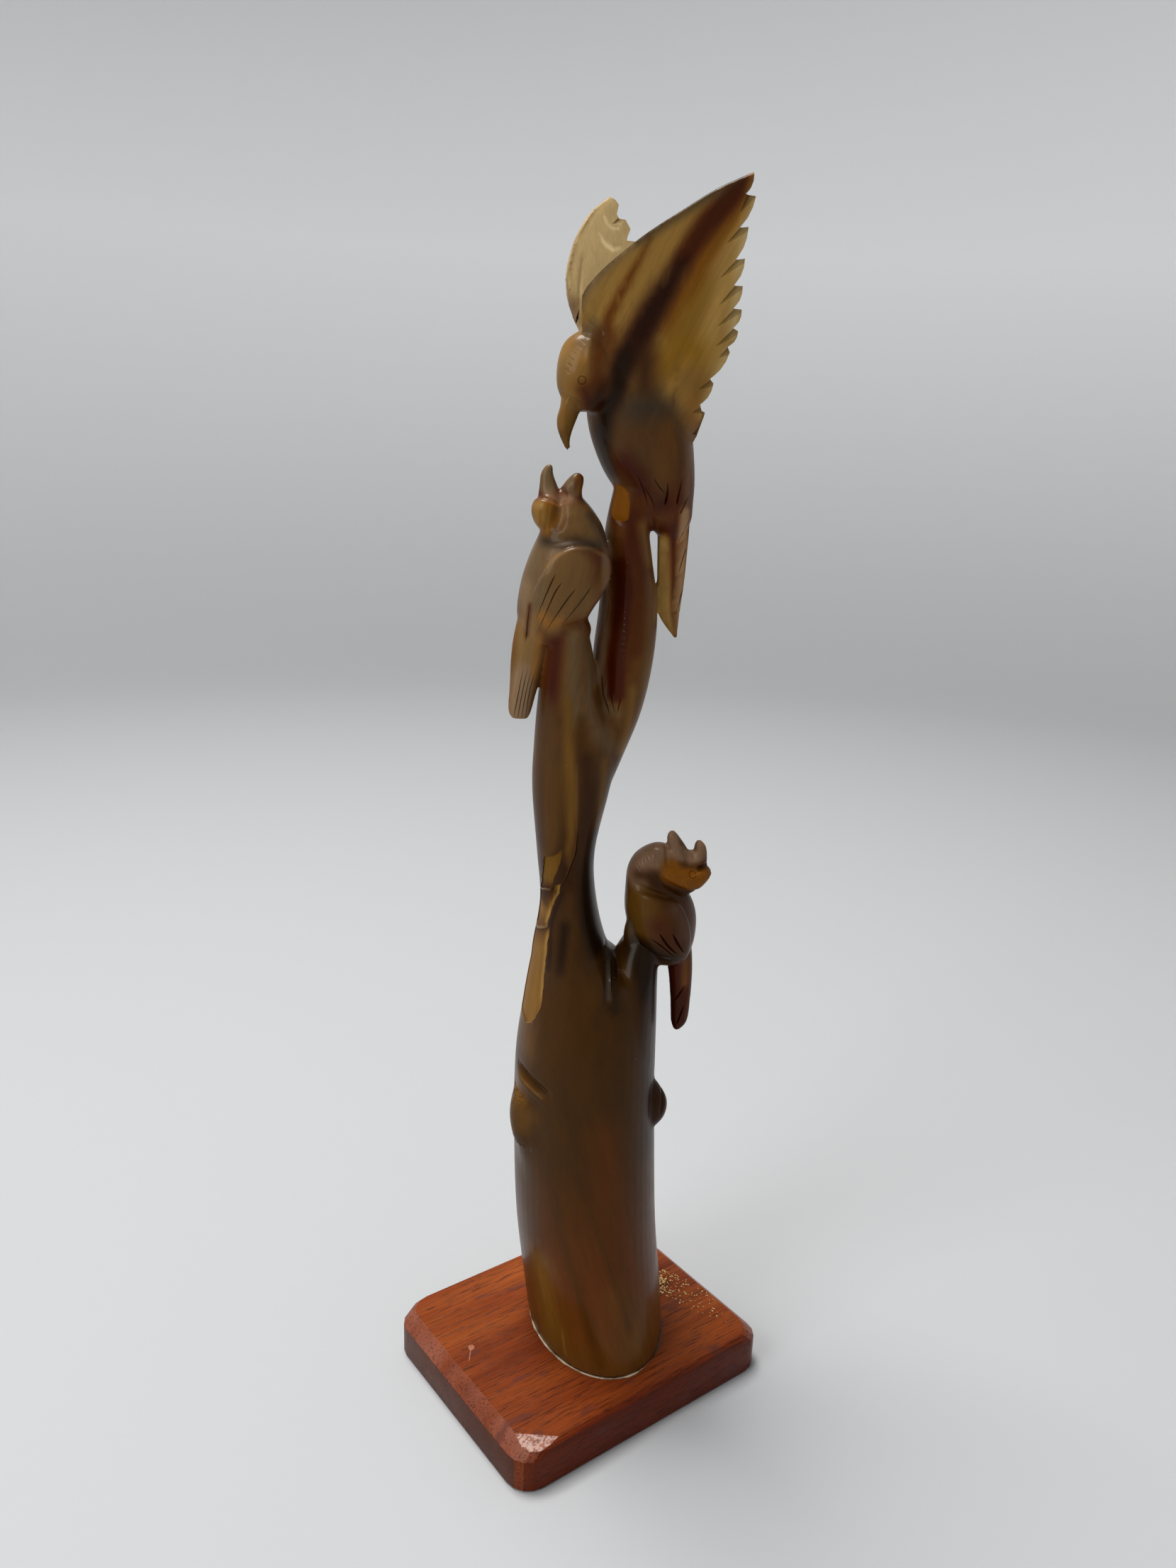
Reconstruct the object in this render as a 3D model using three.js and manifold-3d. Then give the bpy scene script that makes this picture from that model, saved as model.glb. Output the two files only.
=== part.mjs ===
// A bird carving cut from one horn, glued onto a small wooden plinth.
// Millimetres, +Z up. The origin is the centre of the plinth's underside, and
// +X runs along the plinth's long side.
import * as THREE from 'three';
import { mergeVertices } from 'three/addons/utils/BufferGeometryUtils.js';
import Module from 'manifold-3d';

const wasm = await Module();
wasm.setup();

// Plinth
const plinthLength = 100;
const plinthWidth = 80;
const plinthHeight = 15;
const cornerClip = 8;
const endChamfer = { run: 4.2, drop: 4 };
const sideRound = 1.4;
const undersideBreak = 0.6;
const cornerSteps = 4;
const cornerTaper = 0.5;

// Where the rounding of the long sides starts, as shares of its own depth and of
// the end chamfer's run
const shoulder = { run: 0.6, side: 0.2 };

// The corner that is worn down: the slope's reach and drop, which way it faces,
// how far past the clipped corner it starts, and the size of its cutter
const wornCorner = { reach: 12, drop: 3.4, turn: -40, past: 1, cutter: 40 };

// Where the foot stands on the plinth, and how far the carving's own axes are
// turned from the plinth's. The carving's +x is its broad face's right hand,
// and its +y runs through the tree from the face to the back.
const footPlace = { x: 7.1, y: 0.7, turn: -36.95 };
const glueGap = 0.3;
const footLevel = plinthHeight + glueGap;

// Facets
const trunkSides = 22;
const limbSides = 14;
const smallSides = 10;
const bodySides = 16;
const tailSides = 6;
const slimTailSides = 8;
const stepsPerStation = 2;
const bladeColumns = 6;

// A feather's outline: shares of its length, and how far its edge is bitten in
const featherOutline = [[0.02, 0], [0.5, 0.35], [0.93, 1]];

// The cut that parts two feather tips: how far ahead of the tip it lies, its
// mouth and its end as shares of the notch, and its section
const tipCut = {
  ahead: 0.07, mouth: 0.4, end: 2.6, width: 2.6, depth: 1.1, widest: 0.25, rise: 0.5, sink: 0.7,
};

// Grooves on the chicks: how many, their spacing and their section
const leftWingGroove = { count: 4, spacing: 2.7, width: 1.1, depth: 1.2 };
const leftTailGroove = { count: 4, spacing: 1.5, width: 0.9, depth: 0.9 };
const rightWingGroove = { count: 3, spacing: 3, width: 1.2, depth: 1.2 };

// Horn and wood finishes
const hornFinish = new THREE.MeshStandardMaterial({ color: 0x5c4022, roughness: 0.35, metalness: 0 });
const woodFinish = new THREE.MeshStandardMaterial({ color: 0x7c3a20, roughness: 0.55, metalness: 0 });

// Solids from closed surfaces.

function solidFrom(geometry) {
  const bare = geometry.index ? geometry.toNonIndexed() : geometry.clone();
  bare.deleteAttribute('normal');
  bare.deleteAttribute('uv');
  const merged = mergeVertices(bare, 1e-4);
  const mesh = new wasm.Mesh({
    numProp: 3,
    vertProperties: new Float32Array(merged.attributes.position.array),
    triVerts: new Uint32Array(merged.index.array),
  });
  return new wasm.Manifold(mesh);
}

function geometryFrom(solid) {
  const mesh = solid.getMesh();
  const geometry = new THREE.BufferGeometry();
  geometry.setAttribute('position', new THREE.BufferAttribute(new Float32Array(mesh.vertProperties), 3));
  geometry.setIndex(new THREE.BufferAttribute(new Uint32Array(mesh.triVerts), 1));
  geometry.computeVertexNormals();
  return geometry;
}

function enclosedVolume(points, faces) {
  const cross = new THREE.Vector3();
  let volume = 0;
  for (let i = 0; i < faces.length; i += 3) {
    cross.crossVectors(points[faces[i + 1]], points[faces[i + 2]]);
    volume += points[faces[i]].dot(cross) / 6;
  }
  return volume;
}

// Joins a list of rings, each the same number of points, into a closed skin
// whose faces point outwards, whichever way the rings run.
function skinOf(rings) {
  const sides = rings[0].length;
  const points = rings.flat();
  const faces = [];
  for (let r = 0; r + 1 < rings.length; r += 1) {
    for (let s = 0; s < sides; s += 1) {
      const a = r * sides + s;
      const b = r * sides + (s + 1) % sides;
      faces.push(a, b, b + sides, a, b + sides, a + sides);
    }
  }
  for (const [ring, flip] of [[0, true], [rings.length - 1, false]]) {
    const hub = points.length;
    const middle = new THREE.Vector3();
    for (const p of rings[ring]) {
      middle.addScaledVector(p, 1 / sides);
    }
    points.push(middle);
    for (let s = 0; s < sides; s += 1) {
      const a = ring * sides + s;
      const b = ring * sides + (s + 1) % sides;
      faces.push(...(flip ? [hub, b, a] : [hub, a, b]));
    }
  }
  const geometry = new THREE.BufferGeometry();
  geometry.setAttribute('position', new THREE.BufferAttribute(
    new Float32Array(points.flatMap((p) => [p.x, p.y, p.z])), 3));
  geometry.setIndex(enclosedVolume(points, faces) > 0 ? faces : faces.toReversed());
  return solidFrom(geometry);
}

// A limb swells and bends through its stations. A station has its middle, its
// half width and half depth, and how far its oval is turned about the limb.
function limb(stations, { sides = limbSides, level = false } = {}) {
  const path = new THREE.CatmullRomCurve3(
    stations.map((s) => new THREE.Vector3(...s.at)), false, 'centripetal');
  const girth = new THREE.CatmullRomCurve3(
    stations.map((s) => new THREE.Vector3(s.wide, s.deep, s.turn || 0)), false, 'catmullrom', 0.4);
  const count = (stations.length - 1) * stepsPerStation;
  const rings = [];
  for (let i = 0; i <= count; i += 1) {
    const t = i / count;
    const middle = path.getPoint(t);
    const size = girth.getPoint(t);
    const along = level ? new THREE.Vector3(0, 0, 1) : path.getTangent(t);
    const behind = new THREE.Vector3(0, 1, 0).addScaledVector(along, -along.y).normalize();
    const across = new THREE.Vector3().crossVectors(behind, along);
    const turn = THREE.MathUtils.degToRad(size.z);
    const ring = [];
    for (let s = 0; s < sides; s += 1) {
      const angle = 2 * Math.PI * s / sides;
      const u = size.x * Math.cos(angle);
      const v = size.y * Math.sin(angle);
      ring.push(middle.clone()
        .addScaledVector(across, u * Math.cos(turn) - v * Math.sin(turn))
        .addScaledVector(behind, u * Math.sin(turn) + v * Math.cos(turn)));
    }
    rings.push(ring);
  }
  return skinOf(rings);
}

// A carved chip: a groove with a V section that runs from one point to another,
// widest at a share of its length, and pointed at both ends. Its mouth faces
// along out.
function chip(from, to, width, depth, out, widest = 0.4) {
  const a = new THREE.Vector3(...from);
  const b = new THREE.Vector3(...to);
  const up = new THREE.Vector3(...out).normalize();
  const run = new THREE.Vector3().subVectors(b, a);
  const side = new THREE.Vector3().crossVectors(run, up).normalize();
  const middle = a.clone().addScaledVector(run, widest);
  const rings = [];
  for (const [centre, share] of [[a, 0.04], [middle, 1], [b, 0.04]]) {
    rings.push([
      centre.clone().addScaledVector(up, -depth * share),
      centre.clone().addScaledVector(side, width / 2 * share + 0.02).addScaledVector(up, depth),
      centre.clone().addScaledVector(side, -width / 2 * share - 0.02).addScaledVector(up, depth),
    ]);
  }
  return skinOf(rings);
}

function joined(solids) {
  return solids.reduce((whole, solid) => whole.add(solid));
}

function cutBy(solid, cutters) {
  return cutters.reduce((whole, cutter) => whole.subtract(cutter), solid);
}

// Trunk and branches

function makeTree() {
  const trunk = limb([
    { at: [-0.3, 0, footLevel], wide: 22.2, deep: 34, turn: -16 },
    { at: [-1.7, 0, 30], wide: 23, deep: 33, turn: -14 },
    { at: [-4.4, 0, 55], wide: 23.4, deep: 31.4, turn: -11 },
    { at: [-5.8, 0, 85], wide: 23.4, deep: 29, turn: -8 },
    { at: [-6.4, 0, 114], wide: 22.8, deep: 26, turn: -4 },
    { at: [-6, 0, 132], wide: 21.2, deep: 22.8, turn: 0 },
    { at: [-6.6, 0, 142], wide: 19.2, deep: 20.6 },
    { at: [-10.2, 0, 148], wide: 14.6, deep: 18.8 },
    { at: [-12.4, 0, 153], wide: 11.9, deep: 17.4 },
    { at: [-13.4, 0, 168], wide: 8.9, deep: 14.4 },
    { at: [-14.6, 0, 184], wide: 9.1, deep: 12.5 },
    { at: [-13.6, 0, 204], wide: 12, deep: 12 },
    { at: [-12.5, -1, 218], wide: 12.8, deep: 11.5 },
    { at: [-15, -3, 234], wide: 9.2, deep: 9.5 },
    { at: [-15.4, -4, 247], wide: 7.2, deep: 8 },
    { at: [-16, -4.5, 256], wide: 5.4, deep: 6 },
  ], { sides: trunkSides, level: true });
  const rightStump = limb([
    { at: [2.6, 0, 110], wide: 14.2, deep: 20 },
    { at: [4.8, 0, 130], wide: 11.6, deep: 18 },
    { at: [7.8, 0, 142], wide: 8.3, deep: 14 },
    { at: [9, 0, 150], wide: 7.2, deep: 9.5 },
    { at: [11, 0, 157], wide: 5.4, deep: 6 },
  ], { level: true });
  const topBranch = limb([
    { at: [-11, 1, 196], wide: 6, deep: 9.5 },
    { at: [-5.2, 2, 214], wide: 7.2, deep: 9.5 },
    { at: [-0.6, 3, 229], wide: 8, deep: 9.5 },
    { at: [1, 4, 245], wide: 9.3, deep: 9.5 },
    { at: [1.9, 4, 260], wide: 8.8, deep: 9 },
    { at: [1, 3.5, 275], wide: 7.3, deep: 8 },
    { at: [0.9, 3, 284], wide: 6.6, deep: 7.5 },
    { at: [4, 2, 296], wide: 7.4, deep: 7 },
  ], { level: true });
  const scoop = limb([
    { at: [-7.6, -12, 222], wide: 4.4, deep: 7 },
    { at: [-7.4, -10.5, 236], wide: 6.6, deep: 8 },
    { at: [-8.6, -9, 252], wide: 6.4, deep: 8 },
    { at: [-9, -9, 268], wide: 5, deep: 7 },
  ], { sides: smallSides });
  const leftKnot = limb([
    { at: [-22.4, -14, 84], wide: 2, deep: 5, turn: 35 },
    { at: [-22.6, -13.6, 93], wide: 4.8, deep: 10, turn: 35 },
    { at: [-22.8, -13.2, 102], wide: 5.4, deep: 10.4, turn: 35 },
    { at: [-23.6, -12, 111], wide: 3.4, deep: 5, turn: 35 },
  ], { sides: smallSides, level: true });
  const rightKnot = limb([
    { at: [15, -6, 88], wide: 2, deep: 2.5 },
    { at: [16, -6, 94], wide: 5.4, deep: 5.2 },
    { at: [16.4, -6, 101], wide: 5.3, deep: 5 },
    { at: [15, -6, 110], wide: 1.6, deep: 2.5 },
  ], { sides: smallSides, level: true });
  const forkGroove = chip([1.6, -8, 151], [0.4, -23.6, 128], 6, 3, [0, -1, 0.7], 0.35);
  const knotCut = chip([-29.2, -11, 112.6], [-15.4, -24, 98], 5, 2.2, [-0.6, -0.8, 0.5]);
  const tree = joined([trunk, rightStump, cutBy(topBranch, [scoop]), leftKnot, rightKnot]);
  return cutBy(tree, [forkGroove, knotCut]);
}

// A wing blade is a grid from its leading edge to its trailing edge, which is
// cut into feather tips. Both edges are lists of [x, z] from root to tip, and
// place(x, z) gives the depth of the blade's middle there.
function blade({ lead, trail, place, feathers, notch, edge, middle, root, face }) {
  const curveOf = (points) => new THREE.CatmullRomCurve3(
    points.map(([x, z]) => new THREE.Vector3(x, 0, z)), false, 'centripetal');
  const leadCurve = curveOf(lead);
  const trailCurve = curveOf(trail);
  const rings = [];
  for (let f = 0; f < feathers; f += 1) {
    for (const [share, bite] of featherOutline) {
      const v = (f + share) / feathers;
      const from = leadCurve.getPoint(v);
      const to = trailCurve.getPoint(v);
      const bitten = Math.min(0.6 / bladeColumns, notch * bite / from.distanceTo(to));
      const front = [];
      const back = [];
      for (let c = 0; c <= bladeColumns; c += 1) {
        const u = c / bladeColumns;
        const p = from.clone().lerp(to, c === bladeColumns ? 1 - bitten : u);
        const swell = Math.sqrt(Math.max(0, Math.sin(Math.PI * u)));
        const half = edge + (middle * (1 - 0.5 * v) + root * (1 - v) ** 3) * swell;
        const y = place(p.x, p.z);
        front.push(new THREE.Vector3(p.x, y - half, p.z));
        back.push(new THREE.Vector3(p.x, y + half, p.z));
      }
      rings.push([...front, ...back.reverse()]);
    }
  }
  const body = skinOf(rings);
  const cuts = [];
  for (let f = 1; f < feathers; f += 1) {
    const v = (f - tipCut.ahead) / feathers;
    const from = leadCurve.getPoint(v);
    const to = trailCurve.getPoint(v);
    const inward = from.clone().sub(to).normalize();
    const mouth = to.clone().addScaledVector(inward, notch * tipCut.mouth);
    const end = to.clone().addScaledVector(inward, notch * tipCut.end);
    mouth.y = place(mouth.x, mouth.z) + face * (edge + tipCut.rise);
    end.y = place(end.x, end.z) + face * (edge + middle * tipCut.sink);
    cuts.push(chip(mouth.toArray(), end.toArray(), tipCut.width, tipCut.depth, [0, face, 0], tipCut.widest));
  }
  return cutBy(body, cuts);
}

// Adult bird

function makeAdult() {
  const body = limb([
    { at: [13.4, 5, 279], wide: 1.6, deep: 1.4 },
    { at: [12.4, 4.6, 284.6], wide: 6.8, deep: 5.4 },
    { at: [9.8, 4, 290.4], wide: 9.9, deep: 8.4 },
    { at: [6.6, 3, 298], wide: 13.1, deep: 11 },
    { at: [3.5, 1, 309], wide: 14.8, deep: 13 },
    { at: [1.8, 0, 319], wide: 14.4, deep: 13 },
    { at: [0, -1, 329], wide: 11, deep: 11 },
    { at: [-1, -1, 337], wide: 3.6, deep: 4.6 },
  ], { level: true, sides: bodySides });
  const head = limb([
    { at: [-11, -7.6, 336.4], wide: 2.4, deep: 2 },
    { at: [-11.8, -8.2, 332.6], wide: 7, deep: 5.4 },
    { at: [-12.5, -8.8, 326], wide: 8.3, deep: 7.2 },
    { at: [-12.7, -9, 319], wide: 7.4, deep: 6.4 },
    { at: [-12.6, -9, 314.4], wide: 3.2, deep: 3.6 },
  ], { level: true });
  const neck = limb([
    { at: [-14, -8.6, 326], wide: 6, deep: 4.6 },
    { at: [-8, -6, 325.4], wide: 9, deep: 6.6 },
    { at: [0, -2, 323], wide: 10, deep: 9 },
  ], { sides: smallSides });
  const beak = limb([
    { at: [-14.4, -9.4, 321.4], wide: 6.2, deep: 4 },
    { at: [-16.9, -9.9, 316.8], wide: 4.6, deep: 3.2 },
    { at: [-18.8, -10.3, 312], wide: 2.5, deep: 2.1 },
    { at: [-18.4, -10.5, 307.6], wide: 1.6, deep: 1.3 },
    { at: [-16.8, -10.5, 304.4], wide: 0.3, deep: 0.3 },
  ], { sides: smallSides });
  const eye = new THREE.SphereGeometry(1.5, 8, 6).translate(-14.2, -15.2, 323);
  const tail = limb([
    { at: [13.2, 5, 297], wide: 6.8, deep: 4.6 },
    { at: [14.3, 6, 284], wide: 5.5, deep: 3.4 },
    { at: [14.4, 7, 268], wide: 4.7, deep: 2.8 },
    { at: [14.3, 7.5, 258], wide: 3.8, deep: 2.2 },
    { at: [16.8, 8, 250.2], wide: 0.5, deep: 0.5 },
  ], { sides: tailSides, level: true });
  const tailCuts = [282, 275, 267].map((z) => chip([19.4, 2, z], [14.4, 3.2, z - 8], 1.6, 1, [0.4, -1, 0]));
  const nearWing = blade({
    lead: [[-5, 312], [-11.6, 326], [-14.4, 341], [-11.4, 348], [0.1, 357.6], [10.9, 364.6], [20, 370.2],
      [28.8, 374]],
    trail: [[19, 310], [24, 322], [28.8, 334], [29.6, 347], [30, 359], [31, 369], [29.4, 373.8]],
    place: (x, z) => -8 - 0.17 * (z - 310) + 0.006 * (x - 4) ** 2 + 5 * Math.max(0, (331 - z) / 22) ** 2,
    feathers: 10,
    notch: 2.6,
    edge: 0.5,
    middle: 1.2,
    root: 3,
    face: -1,
  });
  const farWing = blade({
    lead: [[-4, 318], [-10, 330], [-16.8, 341], [-19.3, 351], [-17.8, 361], [-13.6, 370], [-8.4, 375.4]],
    trail: [[14, 312], [13.6, 324], [11, 336], [7.8, 347], [4.6, 357], [0.6, 366], [-4.6, 375]],
    place: (x, z) => 9 + 0.26 * (z - 314) + 0.55 * (x + 8) * Math.min(1, (z - 312) / 34),
    feathers: 9,
    notch: 2.6,
    edge: 0.5,
    middle: 1,
    root: 3.5,
    face: -1,
  });
  return joined([body, head, neck, beak, solidFrom(eye), cutBy(tail, tailCuts), nearWing, farWing]);
}

// Chicks

function makeLeftChick() {
  const body = limb([
    { at: [-20.6, -5, 249], wide: 7, deep: 5 },
    { at: [-20.4, -5, 257], wide: 10.4, deep: 9 },
    { at: [-17.6, -5, 266], wide: 12.5, deep: 11 },
    { at: [-16, -5, 274], wide: 11.8, deep: 10.6 },
    { at: [-15.2, -5, 281], wide: 9.6, deep: 8.4 },
    { at: [-15.4, -5, 286], wide: 7.6, deep: 6.6 },
  ], { level: true });
  const head = limb([
    { at: [-9, -5, 282.4], wide: 2.2, deep: 3 },
    { at: [-12.8, -5, 285.4], wide: 4.8, deep: 6 },
    { at: [-18.4, -5, 287.4], wide: 6.4, deep: 6.6 },
    { at: [-23.8, -5, 286.8], wide: 5.2, deep: 5.4 },
    { at: [-27, -5, 286.4], wide: 1.8, deep: 2 },
  ]);
  const upperBill = limb([
    { at: [-20.4, -5, 289], wide: 5, deep: 3.6 },
    { at: [-22.2, -5, 293.4], wide: 3, deep: 2.4 },
    { at: [-22.7, -5, 297.4], wide: 1.8, deep: 1.5 },
    { at: [-22, -5, 300.2], wide: 0.7, deep: 0.6 },
  ], { sides: smallSides, level: true });
  const lowerBill = limb([
    { at: [-14.6, -5, 287.6], wide: 5.4, deep: 3.8 },
    { at: [-14.8, -5, 293], wide: 3.2, deep: 2.6 },
    { at: [-13.9, -5, 297.6], wide: 1.6, deep: 1.6 },
  ], { sides: smallSides, level: true });
  const wing = limb([
    { at: [-7.4, -9.6, 276.5], wide: 2, deep: 2 },
    { at: [-9.6, -11.6, 273.5], wide: 6, deep: 5 },
    { at: [-13.4, -12.4, 267], wide: 8, deep: 5 },
    { at: [-17.6, -11.6, 259.5], wide: 5.2, deep: 4 },
    { at: [-20.4, -10.2, 252.5], wide: 1.4, deep: 1.6 },
  ]);
  const tail = limb([
    { at: [-22, -5, 262], wide: 7.4, deep: 5 },
    { at: [-26, -6, 249], wide: 6, deep: 3.4 },
    { at: [-28.4, -6.6, 236], wide: 4.2, deep: 2.4 },
    { at: [-29.4, -6.8, 229], wide: 3.4, deep: 1.9 },
    { at: [-29.3, -6.8, 226.6], wide: 2.2, deep: 1 },
  ], { level: true });
  const grooves = [];
  for (let i = 0; i < leftWingGroove.count; i += 1) {
    const x = -15.6 + leftWingGroove.spacing * i;
    grooves.push(chip([x, -16.6, 268.6 - 0.6 * i], [x - 5.6, -14.6, 257.4 - 0.4 * i],
      leftWingGroove.width, leftWingGroove.depth, [-0.1, -1, 0]));
  }
  for (let i = 0; i < leftTailGroove.count; i += 1) {
    const x = -30.6 + leftTailGroove.spacing * i;
    grooves.push(chip([x + 2.2, -9.6, 244], [x, -8.6, 225], leftTailGroove.width, leftTailGroove.depth,
      [0, -1, 0], 0.7));
  }
  return cutBy(joined([body, head, upperBill, lowerBill, wing, tail]), grooves);
}

function makeRightChick() {
  const body = limb([
    { at: [19, 0, 147], wide: 5, deep: 4 },
    { at: [17.6, 0, 154], wide: 9.4, deep: 8.2 },
    { at: [16.4, 0, 163], wide: 11.2, deep: 10.2 },
    { at: [15.2, 0, 170], wide: 10.2, deep: 9.6 },
    { at: [13.4, 0, 177.5], wide: 8, deep: 7.6 },
    { at: [12.8, 0, 184], wide: 4.6, deep: 4.4 },
  ], { level: true });
  const head = limb([
    { at: [9.4, 0, 180.6], wide: 3.4, deep: 4.6 },
    { at: [14.6, -1, 180.8], wide: 6.2, deep: 6 },
    { at: [20.6, -1.5, 178.6], wide: 6.4, deep: 6.2 },
    { at: [26.2, -1.5, 177.4], wide: 5, deep: 5 },
    { at: [30.8, -1.5, 178], wide: 2, deep: 2.2 },
  ]);
  const lowerBill = limb([
    { at: [20.2, -1.5, 179.6], wide: 4.6, deep: 3.6 },
    { at: [19.6, -1.5, 185.6], wide: 2.8, deep: 2.4 },
    { at: [18.4, -1.5, 191], wide: 1, deep: 1.1 },
  ], { sides: smallSides, level: true });
  const upperBill = limb([
    { at: [26, -1.5, 179.4], wide: 4.6, deep: 3.6 },
    { at: [27, -1.5, 184], wide: 2.6, deep: 2.2 },
    { at: [27.3, -1.5, 188.5], wide: 1.2, deep: 1 },
  ], { sides: smallSides, level: true });
  const wing = limb([
    { at: [9, -5.6, 169.6], wide: 2, deep: 2 },
    { at: [12.4, -7, 166], wide: 6, deep: 4.4 },
    { at: [17, -7.6, 159.6], wide: 6.8, deep: 4.4 },
    { at: [21, -6.6, 153.4], wide: 4, deep: 3.2 },
    { at: [23.6, -5, 148.4], wide: 1, deep: 1.2 },
  ]);
  const tail = limb([
    { at: [20.6, 0.5, 158], wide: 5.4, deep: 4.4 },
    { at: [23.2, 1, 146], wide: 4.1, deep: 3 },
    { at: [24, 1.4, 134], wide: 3.3, deep: 2.2 },
    { at: [24, 1.6, 126], wide: 2.7, deep: 1.8 },
    { at: [23.4, 1.6, 122.6], wide: 1, deep: 0.8 },
  ], { level: true, sides: slimTailSides });
  const grooves = [];
  for (let i = 0; i < rightWingGroove.count; i += 1) {
    grooves.push(chip([14.4 + rightWingGroove.spacing * i, -12.2 + i, 160 - 0.5 * i],
      [21.4 + 1.4 * i, -9 + i, 150.4 + i], rightWingGroove.width, rightWingGroove.depth, [0.1, -1, 0]));
  }
  grooves.push(chip([26, -2, 138], [22.6, -1.4, 128], rightWingGroove.width, 1, [0.2, -1, 0]));
  return cutBy(joined([body, head, lowerBill, upperBill, wing, tail]), grooves);
}

// Plinth

function plinthRing(inX, inY, z) {
  const ring = [];
  const halfX = plinthLength / 2 - inX;
  const halfY = plinthWidth / 2 - inY;
  const radius = cornerClip - Math.min(inX, inY) * cornerTaper;
  for (const [signX, signY, start] of [[1, 1, 0], [-1, 1, 90], [-1, -1, 180], [1, -1, 270]]) {
    for (let i = 0; i <= cornerSteps; i += 1) {
      const angle = THREE.MathUtils.degToRad(start + 90 * i / cornerSteps);
      ring.push(new THREE.Vector3(
        signX * (halfX - radius) + radius * Math.cos(angle),
        signY * (halfY - radius) + radius * Math.sin(angle), z));
    }
  }
  return ring;
}

function makePlinth() {
  const block = skinOf([
    plinthRing(undersideBreak, undersideBreak, 0),
    plinthRing(0, 0, undersideBreak),
    plinthRing(0, 0, plinthHeight - endChamfer.drop),
    plinthRing(endChamfer.run * shoulder.run, sideRound * shoulder.side, plinthHeight - sideRound),
    plinthRing(endChamfer.run, sideRound, plinthHeight),
  ]);
  const worn = new THREE.BoxGeometry(wornCorner.cutter, wornCorner.cutter, plinthHeight);
  worn.translate(0, 0, plinthHeight / 2);
  worn.rotateX(Math.atan2(wornCorner.drop, wornCorner.reach));
  worn.rotateZ(THREE.MathUtils.degToRad(wornCorner.turn));
  const inset = cornerClip - wornCorner.past;
  worn.translate(inset - plinthLength / 2, inset - plinthWidth / 2, plinthHeight);
  return block.subtract(solidFrom(worn));
}

// Assembly

const carvingMesh = new THREE.Mesh(
  geometryFrom(joined([makeTree(), makeAdult(), makeLeftChick(), makeRightChick()])), hornFinish);
carvingMesh.name = 'carving';

const plinthMesh = new THREE.Mesh(geometryFrom(makePlinth()), woodFinish);
plinthMesh.name = 'plinth';

const carvingPlace = new THREE.Group();
carvingPlace.position.set(footPlace.x, footPlace.y, 0);
carvingPlace.rotation.z = THREE.MathUtils.degToRad(footPlace.turn);
carvingPlace.add(carvingMesh);

const hornBird = new THREE.Group();
hornBird.add(carvingPlace, plinthMesh);

export default hornBird;
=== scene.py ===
# A tree and three birds carved from one horn, glued onto a small hardwood plinth.
import math
import random

import bmesh
import bpy
import numpy as np
from mathutils import Matrix, Vector, noise
from mathutils.bvhtree import BVHTree


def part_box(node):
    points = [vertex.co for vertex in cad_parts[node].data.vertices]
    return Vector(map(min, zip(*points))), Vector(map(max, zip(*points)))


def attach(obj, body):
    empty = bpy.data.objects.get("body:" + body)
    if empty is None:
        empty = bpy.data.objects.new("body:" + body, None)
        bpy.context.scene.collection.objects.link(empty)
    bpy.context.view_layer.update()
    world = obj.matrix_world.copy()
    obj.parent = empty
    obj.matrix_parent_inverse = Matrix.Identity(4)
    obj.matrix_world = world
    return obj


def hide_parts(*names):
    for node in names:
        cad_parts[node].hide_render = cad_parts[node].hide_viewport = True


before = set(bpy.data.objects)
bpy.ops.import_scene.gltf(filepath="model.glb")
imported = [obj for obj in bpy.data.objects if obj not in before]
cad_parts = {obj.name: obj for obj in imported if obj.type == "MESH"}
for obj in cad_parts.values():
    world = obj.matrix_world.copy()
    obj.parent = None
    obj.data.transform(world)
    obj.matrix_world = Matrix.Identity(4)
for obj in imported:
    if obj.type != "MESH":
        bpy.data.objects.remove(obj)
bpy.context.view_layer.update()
bpy.ops.object.select_all(action="DESELECT")
print("frame loaded:", sorted(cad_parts))

# The carving is shaped on a bench where one unit is a millimetre. Its x runs along
# its broad face, its y from the face to the back, and z 0 is the table.
mm = 0.001
bench = {
    "foot": (7.1, 0.7),  # where the foot stands on the plinth
    "turn": -36.95,  # the face's turn against the plinth's long side, degrees
    "top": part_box("plinth")[1].z / mm,
    "softGrid": 0.55,  # remesh grid and smoothing passes while the form is soft, then with the crisp parts
    "softPasses": 8,
    "fineGrid": 0.42,
    "finePasses": 5,
    "triangles": 165000,
    "clear": 60,  # off the face or the back, clear of every part
    "shadeAngle": 35,
}
toPlinth = (
    Matrix.Scale(mm, 4)
    @ Matrix.Translation((*bench["foot"], 0))
    @ Matrix.Rotation(math.radians(bench["turn"]), 4, "Z")
)


# Helpers for the bench

def selectOnly(*objs):
    bpy.ops.object.select_all(action="DESELECT")
    for obj in objs:
        obj.select_set(True)
    bpy.context.view_layer.objects.active = objs[0]


def applyModifiers(obj):
    selectOnly(obj)
    for modifier in list(obj.modifiers):
        bpy.ops.object.modifier_apply(modifier=modifier.name)


def joinPieces(objs, name):
    selectOnly(*objs)
    if len(objs) > 1:
        bpy.ops.object.join()
    whole = bpy.context.view_layer.objects.active
    whole.name = name
    return whole


def emptyMesh(name):
    obj = bpy.data.objects.new(name, bpy.data.meshes.new(name))
    bpy.context.scene.collection.objects.link(obj)
    return obj


def ownCopy(obj):
    copied = obj.copy()
    copied.data = obj.data.copy()
    bpy.context.scene.collection.objects.link(copied)
    return copied


def giveFinish(obj, material):
    obj.data.materials.clear()
    obj.data.materials.append(material)


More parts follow.
